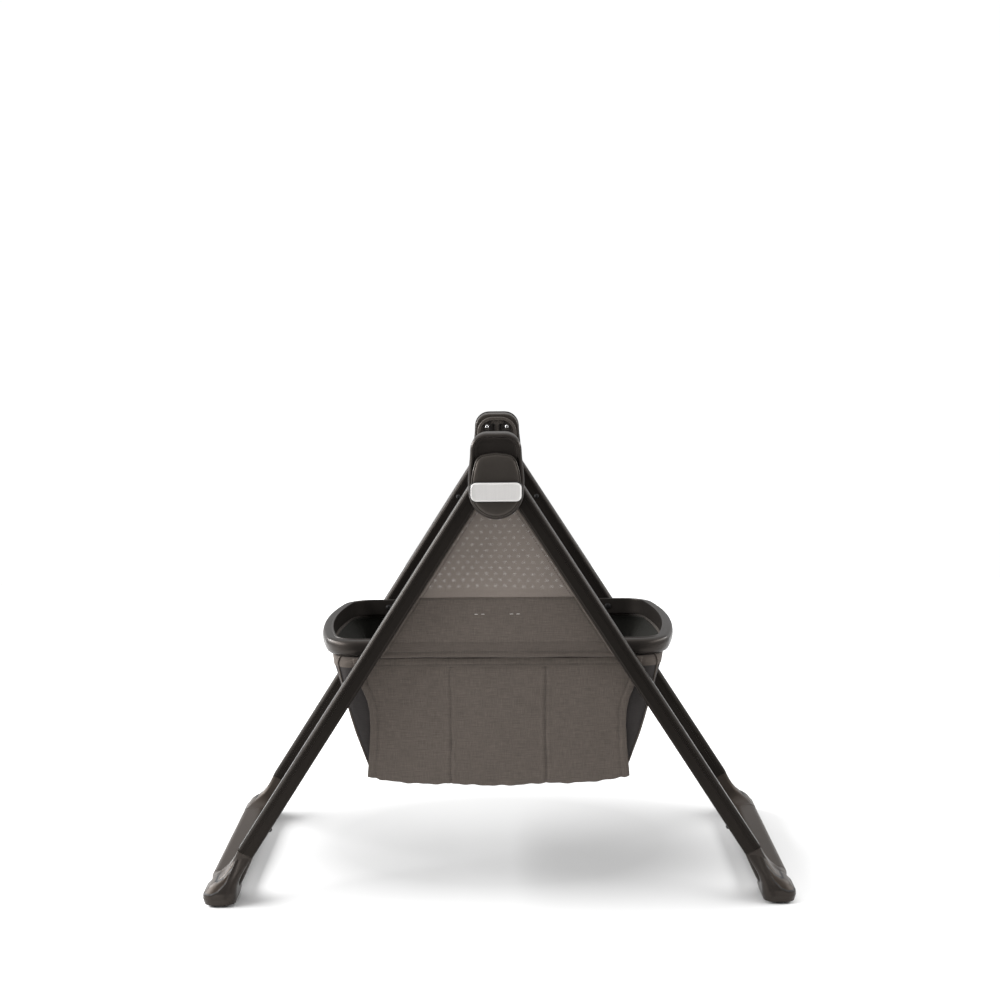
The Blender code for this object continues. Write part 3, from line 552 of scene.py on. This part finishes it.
def hub_front(end_name, end):
    """Rim, sunk face, domed cover, bezel and blank badge on the outer side of a hub."""
    nested(f"hub_face_{end_name}", smooth_loop(hub_outline(0.0012)),
           ((0, 0.2515), (0, 0.2575), (0.0006, 0.2605), (0.0018, 0.2625), (0.0034, 0.2636),
            (0.0048, 0.2638), (0.0056, 0.2632), (0.0062, 0.2612), (0.0070, 0.2594),
            (0.0082, 0.2586), (0.0120, 0.2584)), end, SATIN)

    def dome(x, z):
        return -1.5 * (z - 0.652) ** 2 - 0.9 * x ** 2

    cover = nested(f"cover_{end_name}", smooth_loop(cover_outline()),
                   ((0, 0.2560), (0, 0.2702), (0.0004, 0.2714), (0.0011, 0.2720),
                    (0.0017, 0.2717), (0.0022, 0.2712), (0.0027, 0.2717), (0.0034, 0.2724),
                    (0.0060, 0.2731), (0.0100, 0.2736)), end, HUB, bulge=dome)
    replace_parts(cover, f"hub_cover_{end_name}")
    nested(f"badge_bezel_{end_name}", smooth_loop(rounded_box(0.0402, 0.6325, 0.6640, 0.0100)),
           ((0, 0.2640), (0, 0.2742), (0.0005, 0.2752), (0.0012, 0.2756), (0.0018, 0.2750)),
           end, BLACK)
    plaque = nested(f"badge_plate_{end_name}",
                    smooth_loop(rounded_box(0.0387, 0.6340, 0.6625, 0.0085)),
                    ((0, 0.2748), (0, 0.2768), (0.0004, 0.2776), (0.0010, 0.2779),
                     (0.0015, 0.2777), (0.0020, 0.2772), (0.0027, 0.2771)), end, BADGE)
    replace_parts(plaque, f"badge_{end_name}")


def post_ribs(end_name, end):
    """H-shaped rib clusters round the screws and raised arches round the two slots."""
    vertices, faces = [], []

    def bar(x_low, x_high, z_low, z_high, y_low=0.1948, y_high=0.1968):
        base = len(vertices)
        for y in (y_low, y_high):
            vertices.extend(((x_low, end * y, z_low), (x_high, end * y, z_low),
                             (x_high, end * y, z_high), (x_low, end * y, z_high)))
        faces.extend(shifted(((0, 1, 2, 3), (4, 5, 6, 7), (0, 1, 5, 4), (1, 2, 6, 5),
                              (2, 3, 7, 6), (3, 0, 4, 7)), base))

    for _, side in SIDES:
        centre = side * 0.0174
        for offset in (-0.0052, 0.0052):
            bar(centre + offset - 0.0007, centre + offset + 0.0007, 0.6990, 0.7235)
        for height in (0.7030, 0.7070, 0.7195):
            bar(centre - 0.0050, centre + 0.0050, height - 0.0005, height + 0.0005)
        slot = side * 0.0063
        for offset in (-0.0024, 0.0024):
            bar(slot + offset - 0.0005, slot + offset + 0.0005, 0.7005, 0.7178)
        bar(slot - 0.0018, slot + 0.0018, 0.7178, 0.7188)
    bar(-0.0270, 0.0270, 0.6955, 0.6965)
    ribs = piece(f"post_ribs_{end_name}", vertices, faces, BLACK, "hubs",
                 np.array(vertices)[:, [0, 2]], sharp=30)
    outward(ribs)


for end_name, end in ENDS:
    hub_front(end_name, end)
    post_ribs(end_name, end)


# ---------------------------------------------------------------- feet

LEG_SLOPE, PIVOT_X, PIVOT_Z = 0.643, 0.0230, 0.660
LEG_ANGLE = math.atan(LEG_SLOPE)
LEG_HALF_WIDTH, LEG_HALF_DEPTH, LEG_PLANE_Y = 0.01325, 0.0175, 0.230
FOOT_JOINT_Z = 0.077
BEND_ROWS = 34
BAR_HALF_WIDTH, BAR_HALF_HEIGHT, BAR_CORNER, LEG_CORNER = 0.0201, 0.0141, 0.0106, 0.0055
HEEL_ROWS, HEEL_COLUMNS = 150, 160
# the two swept lips on the front of a foot: X along it and the height there
LIP_1 = ((0.395, 0.105), (0.4095, 0.0765), (0.4183, 0.0570), (0.4300, 0.0440), (0.4400, 0.0385),
         (0.4520, 0.0365), (0.470, 0.0345))
LIP_2 = ((0.405, 0.090), (0.4150, 0.0640), (0.4200, 0.0520), (0.4263, 0.0376), (0.4387, 0.0255),
         (0.4493, 0.0212), (0.470, 0.0212))


def box_loop(half_x, half_z, radius, steps=10):
    """Rounded rectangle about the origin, counter-clockwise."""
    x, z = half_x - radius, half_z - radius
    return np.array(arc(x, z, radius, 0, 90, steps) + arc(-x, z, radius, 90, 180, steps)
                    + arc(-x, -z, radius, 180, 270, steps) + arc(x, -z, radius, 270, 360, steps))


def elbow(side, end):
    """Bend that carries the leg's section down and round into the floor bar's."""
    down = np.array((math.sin(LEG_ANGLE), 0, -math.cos(LEG_ANGLE)))
    joint = np.array((PIVOT_X + LEG_SLOPE * (PIVOT_Z - FOOT_JOINT_Z), LEG_PLANE_Y,
                      FOOT_JOINT_Z))
    knots = np.array((joint - 0.0005 * down, joint + 0.040 * down - (0.008, 0, 0),
                      (0.4330, 0.2240, 0.0170), (0.4400, 0.1795, 0.0185)))
    t = np.linspace(0, 1, BEND_ROWS)[:, None]
    centre = ((1 - t) ** 3 * knots[0] + 3 * t * (1 - t) ** 2 * knots[1]
              + 3 * t ** 2 * (1 - t) * knots[2] + t ** 3 * knots[3])
    along = unit(np.gradient(centre, axis=0))
    leg_across = np.array((math.cos(LEG_ANGLE), 0, math.sin(LEG_ANGLE)))
    across = leg_across * (1 - t) + t * (1.0, 0, 0)
    across = unit(across - (across * along).sum(1)[:, None] * along)
    front = np.cross(across, along)
    rows = []
    for k, b in enumerate(smooth_step(t[:, 0])):
        loop = box_loop(LEG_HALF_WIDTH * (1 - b) + BAR_HALF_WIDTH * b,
                        LEG_HALF_DEPTH * (1 - b) + BAR_HALF_HEIGHT * b,
                        LEG_CORNER * (1 - b) + BAR_CORNER * b)
        rows.append(centre[k] + loop[:, :1] * across[k] + loop[:, 1:] * front[k])
    return np.array(rows) * (side, end, 1)


def lip_height(lip, x):
    return np.interp(x, *np.array(lip).T)


def heel(side, end):
    """Shell round the bend: a bulging cap that stands on the floor under two swept lips."""
    # height, inner and outer X, back and front Y, corner radius
    levels = np.array(((0.0018, 0.4195, 0.4550, 0.1900, 0.2690, 0.012),
                       (0.0045, 0.4125, 0.4605, 0.1860, 0.2738, 0.015),
                       (0.0130, 0.4102, 0.4630, 0.1880, 0.2750, 0.016),
                       (0.0220, 0.4098, 0.4618, 0.1950, 0.2742, 0.016),
                       (0.0300, 0.4090, 0.4555, 0.2040, 0.2712, 0.016),
                       (0.0380, 0.4065, 0.4445, 0.2110, 0.2665, 0.014),
                       (0.0460, 0.4030, 0.4350, 0.2160, 0.2610, 0.011),
                       (0.0550, 0.3975, 0.4275, 0.2190, 0.2556, 0.009),
                       (0.0640, 0.3915, 0.4205, 0.2210, 0.2506, 0.007),
                       (0.0720, 0.3868, 0.4150, 0.2220, 0.2471, 0.005)))
    rows = []
    for z in np.linspace(levels[0, 0], levels[-1, 0], HEEL_ROWS):
        x_in, x_out, y_back, y_front, radius = (np.interp(z, levels[:, 0], levels[:, k])
                                                for k in range(1, 6))
        loop = box_loop((x_out - x_in) / 2, (y_front - y_back) / 2, radius, 14)
        dense = smooth_loop([tuple(p) for p in loop], HEEL_COLUMNS, 2)
        x, y = dense[:, 0] + (x_in + x_out) / 2, dense[:, 1] + (y_front + y_back) / 2
        along = unit(np.roll(dense, -1, 0) - np.roll(dense, 1, 0))
        frontal = smooth_step((y - 0.195) / 0.02)
        lip_1, lip_2 = lip_height(LIP_1, x), lip_height(LIP_2, x)
        sunk = -0.0014 * smooth_step((z - lip_2 + 0.0008) / 0.0017)
        sunk = sunk - 0.0014 * smooth_step((z - lip_1 + 0.0008) / 0.0017)
        lift = 0.0006 * np.exp(-((z - lip_2 + 0.0030) / 0.0026) ** 2)
        lift = lift + 0.0008 * np.exp(-((z - lip_1 + 0.0034) / 0.0026) ** 2)
        valley = -0.0016 * np.exp(-((x - 0.4225 + (z - 0.03) * 0.35) / 0.0045) ** 2)
        valley = valley * smooth_step((z - 0.008) / 0.02) * (z < lip_2)
        shift = (sunk + lift + valley) * frontal
        x, y = x + along[:, 1] * shift, y - along[:, 0] * shift
        rows.append(np.stack((side * x, end * y, np.full(HEEL_COLUMNS, z)), -1))
    return np.array(rows)


def foot(side_name, side, end_name, end):
    vertices, faces = [], []
    for points in (elbow(side, end), heel(side, end)):
        rows, columns = points.shape[:2]
        base = sum(len(v) for v in vertices)
        faces += shifted(grid_faces(rows, columns, True) + end_caps(rows, columns), base)
        vertices.append(points.reshape(-1, 3))
    bend_count = len(vertices[0])
    vertices = np.concatenate(vertices)
    shell = piece(f"foot_shell_{end_name}_{side_name}", vertices, faces, FOOT,
                  f"{side_name}_frame", vertices[:, :2], sharp=60)
    shell.data.materials.append(BAR)
    # BLACK paints the shadow under each lip
    shell.data.materials.append(BLACK)
    outward(shell)
    for face in shell.data.polygons:
        x, y, z = abs(face.center.x), abs(face.center.y), face.center.z
        if max(face.vertices) < bend_count:
            finish_and_painted_shadow = end * face.normal.y < 0.30
        else:
            finish_and_painted_shadow = z > lip_height(LIP_2, x)
            # painted shadow: black on a thin strip under each lip
            for lip in (LIP_1, LIP_2):
                if y > 0.205 and abs(z - lip_height(lip, x) + 0.0002) < 0.0009:
                    finish_and_painted_shadow = 2
        face.material_index = int(finish_and_painted_shadow)
    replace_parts(shell, f"foot_{end_name}_{side_name}")


for side_name, side in SIDES:
    for end_name, end in ENDS:
        foot(side_name, side, end_name, end)


# ---------------------------------------------------------------- basket ring

RING_Z, RING_W, RING_H = 0.394, 0.018, 0.013
RING_LENGTH, RING_DEPTH, RING_CORNER, RING_BOW = 0.290, 0.204, 0.055, 0.800
TONGUE, STRAIGHT_END = 0.080, 0.19
LAP_GAP = 0.0003


def ring_section(steps=4):
    """Section of the ring, (out from the inner wall, up): a bead inside, crowned outside."""
    w, h = RING_W, RING_H
    knots = np.array([(0, -h + 0.0015), (0.0015, -h), (w * 0.50, -h), (w * 0.80, -h * 0.78),
                      (w * 0.96, -h * 0.36), (w, h * 0.08), (w * 0.965, h * 0.50),
                      (w * 0.85, h * 0.82), (w * 0.62, h * 0.97), (w * 0.30, h * 0.98),
                      (0.0034, h * 0.97), (0.0024, h + 0.0006), (0.0009, h + 0.0006),
                      (0, h - 0.0010), (0, 0)])
    points = []
    for k in range(len(knots)):
        a, b, c, d = (knots[(k + j) % len(knots)] for j in (-1, 0, 1, 2))
        for t in np.arange(steps) / steps:
            points.append(0.5 * (2 * b + (c - a) * t + (2 * a - 5 * b + 4 * c - d) * t ** 2
                                 + (3 * b - a - 3 * c + d) * t ** 3))
    return np.array(points)


def ring_half(side_name, side):
    corner_y = RING_DEPTH - RING_CORNER
    corner_x = RING_LENGTH - RING_BOW + math.sqrt((RING_BOW - RING_CORNER) ** 2 - corner_y ** 2)
    turn = math.degrees(math.asin(corner_y / (RING_BOW - RING_CORNER)))
    straight = [(x, -RING_DEPTH) for x in (-0.015, TONGUE - 0.0001, TONGUE, 0.14, STRAIGHT_END)]
    path = (straight + arc(corner_x, -corner_y, RING_CORNER, -90, -turn, 28)
            + arc(RING_LENGTH - RING_BOW, 0, RING_BOW, -turn, turn, 48)[1:-1]
            + arc(corner_x, corner_y, RING_CORNER, turn, 90, 28)
            + [(x, -y) for x, y in reversed(straight)])
    path = np.array(path)
    along = np.gradient(path, axis=0)
    on_straight = np.abs(path[:, 0]) <= STRAIGHT_END
    along[on_straight] = (1, 0)
    along[on_straight & (path[:, 1] > 0)] = (-1, 0)
    along = unit(along)
    out = np.stack((along[:, 1], -along[:, 0]), -1)
    section = ring_section()
    rows = []
    for (x, y), (out_x, out_y) in zip(path, out):
        reach = section[:, 0]
        if x < TONGUE:
            # the left half keeps the outer lane of each lap, the right half the inner lane
            middle = RING_W / 2
            reach = (np.maximum(reach, middle + LAP_GAP) if side < 0
                     else np.minimum(reach, middle - LAP_GAP))
        shift = reach - RING_W
        rows.append(np.stack((side * (x + out_x * shift), y + out_y * shift,
                              RING_Z + section[:, 1]), -1))
    count = len(section)
    points = np.array(rows)
    faces = grid_faces(len(rows), count, True) + end_caps(len(rows), count)
    length = np.arange(len(rows))[:, None] * 0.006 + 0 * points[:, :, 0]
    uvs = np.stack((length, np.arange(count)[None, :] * 0.001 + 0 * length), -1)
    ring = piece(f"ring_shell_{side_name}", points.reshape(-1, 3), faces, SATIN,
                 f"{side_name}_ring", uvs.reshape(-1, 2), sharp=50)
    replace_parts(outward(ring), f"ring_{side_name}")


for side_name, side in SIDES:
    ring_half(side_name, side)


# ---------------------------------------------------------------- upper panels

PANEL_GAP = 0.0012                           # between a panel's side and the leg
LEG_HALF_ACROSS = LEG_HALF_WIDTH * math.sqrt(1 + LEG_SLOPE ** 2)


def leg_inner_x(z):
    return PIVOT_X + LEG_SLOPE * (PIVOT_Z - z) - LEG_HALF_ACROSS


def fold_in(obj):
    """The stand closes in X as the legs fold; this only gives the piece a mesh of its own."""
    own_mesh(obj)


def fabric_panel(end_name, end):
    low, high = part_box(f"fabric_panel_{end_name}")
    z_low, z_high = low.z, high.z
    rows, columns = 64, 110
    t = np.linspace(0, 1, rows)[:, None]
    s = np.linspace(-1, 1, columns)[None, :]
    z = z_low + (z_high - z_low) * t + 0 * s
    x = s * (leg_inner_x(z) - PANEL_GAP)
    # the lower edge is a loose hem, the sides are held straight by the legs
    edge = 1 - np.abs(s) ** 6
    z = z + 0.0010 * ripple(x, 0 * x, 3 + end, 0.16) * (1 - t) ** 2 * edge
    depth = 0.0011 * ripple(x, z, 11 + end, 0.13) * edge * (1 - 0.5 * t)
    depth += 0.0006 * ripple(x, 2.5 * z, 5 + end, 0.05) * edge * (1 - t)
    # hem fold along the lower edge and the tuck that stands above the ring
    above = z - z_low
    depth += 0.0008 * np.exp(-((above - 0.0035) / 0.0028) ** 2)
    depth -= 0.0006 * np.exp(-((above - 0.0085) / 0.0012) ** 2)
    depth += 0.0005 * smooth_step((0.0245 - above) / 0.002)
    panel = sheet_piece(f"upper_fabric_{end_name}", line_at(x, end * (0.2197 + depth), z),
                        np.stack((x, z), -1), CLOTH, 0.0010)
    panel.data.materials.append(SHADED_BAND_CLOTH)
    # painted shade: the lowest 24 mm of the upper panel take the darker copy of the fabric
    for face in panel.data.polygons:
        if face.center.z < z_low + 0.024:
            face.material_index = 1
    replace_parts(panel, f"fabric_panel_{end_name}")
    fold_in(panel)
    extras = []
    for side_name, side in SIDES:
        heights = np.linspace(z_low + 0.001, 0.6375, 60)
        path = line_at(side * (leg_inner_x(heights) - 0.0022), end * 0.2208, heights)
        extras.append(piping(f"panel_piping_{end_name}_{side_name}", path, 0.0013))
        heights = np.linspace(z_low + 0.004, 0.6300, 60)
        path = line_at(side * (leg_inner_x(heights) - 0.0080), end * 0.2210, heights)
        extras.append(stitches(f"panel_stitching_{end_name}_{side_name}", [path], (0, end, 0)))
    wide = leg_inner_x(z_low) - 0.006
    across = np.linspace(-wide, wide, 90)
    lines = []
    for height in (z_low + 0.0085, z_high - 0.0030):
        reach = leg_inner_x(height) - 0.006
        lines.append(line_at(np.clip(across, -reach, reach), end * 0.2208, height))
    extras.append(stitches(f"panel_hem_stitching_{end_name}", lines, (0, end, 0)))
    for extra in extras:
        fold_in(extra)
    height = z_high - z_low


def net_panel(end_name, end):
    """Open net of staggered six-sided holes, cut to the space between the legs."""
    low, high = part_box(f"mesh_panel_{end_name}")
    z_low, z_high = low.z - 0.0006, high.z
    pitch_x, pitch_z, open_share = 0.0022, 0.00145, 0.30
    vertices, faces = [], []
    half_x = pitch_x / 2
    corners = np.array([(half_x, -pitch_z / 3), (half_x, pitch_z / 3), (0, pitch_z * 2 / 3),
                        (-half_x, pitch_z / 3), (-half_x, -pitch_z / 3), (0, -pitch_z * 2 / 3)])
    cell_faces = grid_faces(2, len(corners), True)
    row = 0
    z = z_low + pitch_z / 2
    while z < z_high:
        reach = leg_inner_x(z) - 0.0020
        shift = half_x if row % 2 else 0.0
        count = int((reach - shift) / pitch_x)
        for k in range(-count - row % 2, count + 1):
            x = k * pitch_x + shift
            base = len(vertices)
            for scale in (1.0, open_share):
                for cx, cz in corners:
                    vertices.append((x + cx * scale, 0, z + cz * scale))
            faces += shifted(cell_faces, base)
        row += 1
        z += pitch_z
    flat = np.array(vertices)
    s = flat[:, 0] / (leg_inner_x(flat[:, 2]) - PANEL_GAP)
    depth = 0.0010 * ripple(flat[:, 0], flat[:, 2], 21 + end, 0.11) * (1 - np.abs(s) ** 4)
    flat[:, 1] = end * (0.2198 + depth)
    net = piece(f"upper_net_{end_name}", flat, faces, NET, "hubs",
                flat[:, [0, 2]])
    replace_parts(net, f"mesh_panel_{end_name}")
    fold_in(net)


for end_name, end in ENDS:
    fabric_panel(end_name, end)
    net_panel(end_name, end)


# ---------------------------------------------------------------- basket

# height, half length, half depth, corner radius and bow radius of the bag's sections
BAG = np.array(((0.184, 0.2040, 0.1900, 0.014, 4.00), (0.192, 0.2070, 0.2000, 0.014, 4.00),
                (0.220, 0.2160, 0.2020, 0.013, 6.00), (0.260, 0.2310, 0.2030, 0.013, 5.00),
                (0.300, 0.2450, 0.2032, 0.015, 3.20), (0.340, 0.2590, 0.2025, 0.020, 2.00),
                (0.370, 0.2715, 0.1995, 0.032, 1.40), (0.3805, 0.2765, 0.1978, 0.050, 0.80)))


CORNER_POINTS, BOW_POINTS, BAG_COLUMNS = 24, 58, 300


def bag_section(z):
    """Half length, half depth, corner radius and bow radius of the bag at a height."""
    return [np.interp(z, BAG[:, 0], BAG[:, k]) for k in range(1, 5)]


def corner_centre(half_length, half_depth, corner_r, bow_r):
    corner_y = half_depth - corner_r
    return half_length - bow_r + np.sqrt((bow_r - corner_r) ** 2 - corner_y ** 2), corner_y


def bag_loop(z, inset, columns=BAG_COLUMNS):
    """Points around the bag at one height, counter-clockwise, with the way out and the
    distance round at each."""
    half_length, half_depth, corner_r, bow_r = bag_section(z)
    half_length, half_depth = half_length - inset, half_depth - inset
    corner_x, corner_y = corner_centre(half_length, half_depth, corner_r, bow_r)
    turn = math.asin(corner_y / (bow_r - corner_r))
    angles = np.linspace(-math.pi / 2, -turn, CORNER_POINTS)
    lower = np.stack((corner_x + corner_r * np.cos(angles),
                      -corner_y + corner_r * np.sin(angles)), -1)
    angles = np.linspace(-turn, turn, BOW_POINTS + 2)[1:-1]
    bow = np.stack((half_length - bow_r + bow_r * np.cos(angles), bow_r * np.sin(angles)), -1)
    upper = lower[::-1] * (1, -1)
    right = np.concatenate(([(0, -half_depth)], lower, bow, upper, [(0, half_depth)]))
    outline = np.concatenate((right, -right[1:-1]))
    outline = np.concatenate((outline, outline[:1]))
    # each stretch keeps one share of the columns, so that they line up between heights
    steps = path_steps(outline)
    corner = steps[CORNER_POINTS] - steps[1]
    bow = steps[CORNER_POINTS + BOW_POINTS] - steps[CORNER_POINTS]
    sizes = (corner_x, corner, bow, corner, 2 * corner_x, corner, bow, corner, corner_x)
    shares = (0.13, 0.05, 0.14, 0.05, 0.26, 0.05, 0.14, 0.05, 0.13)
    knots = np.concatenate(([0], np.cumsum(sizes)))
    knots *= steps[-1] / knots[-1]
    t = np.arange(columns) / columns
    at = np.interp(t, np.concatenate(([0], np.cumsum(shares))), knots)
    xy = np.stack([np.interp(at, steps, outline[:, k]) for k in (0, 1)], -1)
    along = unit(np.roll(xy, -1, 0) - np.roll(xy, 1, 0))
    return xy, np.stack((along[:, 1], -along[:, 0]), -1), at


def bag_sheet(name, heights, inset, wrinkle, material, thickness):
    """A closed band of cloth around the bag. wrinkle(t, z) gives its outward shift."""
    rows, uvs = [], []
    t = np.arange(BAG_COLUMNS) / BAG_COLUMNS
    for z in heights:
        xy, out, at = bag_loop(z, inset)
        xy = xy + out * wrinkle(t, z)[:, None]
        rows.append(line_at(xy[:, 0], xy[:, 1], z))
        uvs.append(np.stack(np.broadcast_arrays(at, z), -1))
    return sheet_piece(name, np.array(rows), np.array(uvs), material, thickness, closed=True)


def pocket_edge_x(z):
    """Half width of the near wall's pocket cloth: it flares towards the ring."""
    return np.interp(z, (0.176, 0.200, 0.234, 0.270, 0.295, 0.312, 0.338, 0.360, 0.383),
                     (0.2080, 0.2060, 0.2030, 0.2012, 0.2022, 0.2055, 0.2160, 0.2230, 0.2280))


def loop_waves(t, z, seed, count):
    """Smooth random waves round the bag, about -1 to 1."""
    rng = np.random.default_rng(seed)
    total = 0
    for _ in range(8):
        turns = rng.integers(count // 2, count * 2)
        total = total + np.sin(2 * math.pi * (turns * t + rng.uniform(-6, 6) * z
                                              + rng.uniform(0, 1)))
    return total / 4.0


def end_share(t):
    """1 on the two ends of the bag, 0 on its long walls."""
    return smooth_step((0.105 - np.abs((t % 0.5) - 0.25)) / 0.02)


def basket_walls():
    heights = np.concatenate((np.linspace(0.1835, 0.3625, 64), np.linspace(0.3640, 0.3802, 8)))

    def outer(t, z):
        low = 1 - smooth_step((z - 0.34) / 0.04)
        shift = 0.0009 * loop_waves(t, z, 4, 14) * low
        shift += -0.0012 * end_share(t) * np.sin(math.pi * np.clip((z - 0.19) / 0.18, 0, 1))
        shift += 0.0007 * math.exp(-((z - 0.3665) / 0.0016) ** 2)
        return shift - 0.0002

    walls = bag_sheet("basket_walls", heights, 0.0008, outer, CLOTH, 0.0011)
    walls.data.materials.append(SHADED_END_CLOTH)
    # painted shade: below the top band, the ends and the strips of near wall outside the pocket cloth
    # take a darker copy of the cloth
    on_end = end_share((np.arange(BAG_COLUMNS) + 0.5) / BAG_COLUMNS) > 0.5
    for face in walls.data.polygons:
        x, y, z = face.center
        outside = y < -0.15 and abs(x) > pocket_edge_x(z) - 0.008
        if z < 0.3640 and (on_end[face.index % BAG_COLUMNS] or outside):
            face.material_index = 1

    def inner(t, z):
        low = smooth_step((0.372 - z) / 0.05)
        sag = np.sin(math.pi * np.clip((z - 0.185) / 0.19, 0, 1))
        shift = -0.0028 * (1 + loop_waves(t, z, 9, 9)) * low
        shift += -0.0110 * end_share(t) * sag - 0.0035 * sag * np.abs(loop_waves(t, z, 2, 12))
        return shift

    lining = bag_sheet("basket_lining", np.linspace(0.1880, 0.3755, 62), 0.0040, inner,
                       LINING, 0.0008)
    # painted shade: the inner band uses the darker copy of the fabric
    band = bag_sheet("basket_inner_band", np.linspace(0.3698, 0.3803, 8), 0.0034,
                     lambda t, z: 0.0010 * math.exp(-((z - 0.3760) / 0.002) ** 2)
                     * np.ones_like(t), SHADED_INNER_CLOTH, 0.0012)
    return walls, lining, band


def basket_floor():
    """Stiffened floor pad of the basket, covered in the lining cloth."""
    top, underside, columns = 0.1925, 0.1862, 160
    xy = bag_loop(0.192, 0.0065, columns)[0]
    rings = []
    for scale, drop in ((0.35, 0.0), (0.60, 0.0), (0.78, 0.0), (0.90, -0.0004),
                        (0.965, -0.0010), (0.992, -0.0028), (1.00, -0.0052)):
        x, y = xy[:, 0] * scale, xy[:, 1] * scale
        rings.append(line_at(x, y, top + drop + 0.0007 * ripple(x, y, 31, 0.11)
                             * (scale < 0.99)))
    points = np.array(rings)
    vertices = np.concatenate((points.reshape(-1, 3), [(0, 0, top)]))
    faces = grid_faces(len(points), columns, True)
    faces += [(len(vertices) - 1, (c + 1) % columns, c) for c in range(columns)]
    under = len(vertices)
    vertices = np.concatenate((vertices, points[-1] - (0, 0, 0.0010), [(0, 0, underside)]))
    last = (len(points) - 1) * columns
    for c in range(columns):
        d = (c + 1) % columns
        faces.append((last + c, under + c, under + d, last + d)[::-1])
        faces.append((under + c, under + columns, under + d)[::-1])
    return piece("basket_floor_pad", vertices, faces, LINING, "hubs",
                 vertices[:, :2])


def bag_corner(z, side, end):
    """Points up the seam on the bag's corner."""
    half_length, half_depth, corner_r, bow_r = bag_section(z)
    corner_x = corner_centre(half_length, half_depth, corner_r, bow_r)[0]
    return np.stack((side * (corner_x + 0.72 * corner_r), end * (half_depth - 0.30 * corner_r + 0.0002),
                     z), -1)


walls, lining, band = basket_walls()
floor_pad = basket_floor()
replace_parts(walls, "basket")
for soft in (walls, lining, band, floor_pad):
    fold_in(soft)
wall_trim = []
for end_name, end in ENDS:
    for side_name, side in SIDES:
        path = bag_corner(np.linspace(0.186, 0.3795, 60), side, end)
        wall_trim.append(piping(f"basket_piping_{end_name}_{side_name}", path, 0.0015))
for trim in wall_trim:
    fold_in(trim)


# ---------------------------------------------------------------- pockets

SEAM_X, WALL_HALF_WIDTH = 0.0745, 0.2075
POCKET_SIDES = (-1, 1)


def seam_wander(z):
    """Half distance between the two seams, which wander a little."""
    return SEAM_X + 0.0006 * np.sin(40 * z) + 0.0004 * np.sin(90 * z + 2)


def pocket_cloth():
    """One cloth across the near wall, sewn down in three pockets."""
    rows, columns = 120, 220
    t = np.linspace(0, 1, rows)[:, None]
    s = np.linspace(-1, 1, columns)[None, :]
    top = 0.3800 + 0.0005 * np.sin(9 * s) + 0 * t
    seam = SEAM_X / WALL_HALF_WIDTH
    sag = 0.1772 + 0.0125 * s ** 2
    lobes = -0.0022 * np.abs(np.sin(math.pi * (s / seam + 1) / 2)) * (np.abs(s) < seam)
    lobes += -0.0030 * np.sin(math.pi * np.clip((np.abs(s) - seam) / (1 - seam), 0, 1)) ** 0.7
    bottom = sag + lobes + 0.0006 * np.sin(31 * s + 1) + 0.0004 * np.sin(57 * s)
    bottom = bottom + 0.0018 * np.exp(-((np.abs(s) - 0.93) / 0.02) ** 2)
    z = bottom + (top - bottom) * t
    x = s * pocket_edge_x(z)
    seam_x = seam_wander(z)
    puff = 0
    started = smooth_step((0.3655 - z) / 0.004)
    for centre in (-seam_x, seam_x):
        puff = puff - 0.0013 * np.exp(-((x - centre) / 0.0019) ** 2) * started
        puff = puff + 0.0006 * np.exp(-((np.abs(x - centre) - 0.0050) / 0.0030) ** 2) * started
    crown = 0.0016 * (np.abs(np.cos(math.pi * x / (2 * seam_x))) ** 0.5) * started
    puff = puff + crown * (np.abs(x) < seam_x) * smooth_step((z - 0.185) / 0.03) * 0.5
    puff = puff + 0.0013 * ripple(x, z, 41, 0.14) * smooth_step((0.372 - z) / 0.03)
    puff = puff + 0.0005 * ripple(x, z, 43, 0.045)
    # rolled hem along the top, side hems and a turned hem at the wavy lower edge
    puff = puff + 0.0007 * np.exp(-((z - 0.3745) / 0.0042) ** 2)
    puff = puff - 0.0005 * np.exp(-((z - 0.3690) / 0.0011) ** 2)
    inward = pocket_edge_x(z) - np.abs(x)
    puff = puff - 0.0009 * np.exp(-((inward - 0.0120) / 0.0013) ** 2)
    puff = puff + 0.0005 * np.exp(-((inward - 0.0060) / 0.0040) ** 2)
    puff = puff - 0.0006 * np.exp(-((z - bottom - 0.0075) / 0.0010) ** 2) * (np.abs(s) < 0.95)
    cloth = sheet_piece("pocket_cloth", line_at(x, -(0.2078 + puff), z),
                        np.stack((x, z), -1), CLOTH, 0.0012)
    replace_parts(cloth, "pocket_panel")
    lines = []
    heights = np.linspace(0.182, 0.3640, 80)
    for side in POCKET_SIDES:
        lines.append(line_at(side * seam_wander(heights), -0.2078, heights))
    side_z = np.linspace(0.196, 0.372, 80)
    for side in POCKET_SIDES:
        lines.append(line_at(side * (pocket_edge_x(side_z) - 0.0120), -0.2084, side_z))
    lines.append(line_at(np.linspace(-0.205, 0.205, 120), -0.2088, 0.3690))
    thread = stitches("pocket_stitching", lines, (0, -1, 0))
    bars = []
    for side in POCKET_SIDES:
        for height in (0.3640, 0.3652):
            xs = side * SEAM_X + np.linspace(-0.0022, 0.0022, 4)
            bars.append(line_at(xs, -0.2092, height))
    tacks = stitches("pocket_bartacks", bars, (0, -1, 0), length=0.0042, pitch=0.0043,
                     width=0.0005)
    for item in (cloth, thread, tacks):
        fold_in(item)


pocket_cloth()


def panel_tacks(end_name, end):
    """Two short double bar tacks in pale thread across the upper panel."""
    lines = []
    for centre in (-0.0275, 0.0275):
        for offset in (-0.0052, 0.0052):
            xs = centre + offset + np.linspace(-0.0032, 0.0032, 4)
            lines.append(line_at(xs, end * 0.2212, 0.4515))
    tacks = stitches(f"panel_tacks_{end_name}", lines, (0, end, 0), PALE_THREAD,
                     length=0.0060, pitch=0.0062, width=0.0005)
    fold_in(tacks)


for end_name, end in ENDS:
    panel_tacks(end_name, end)
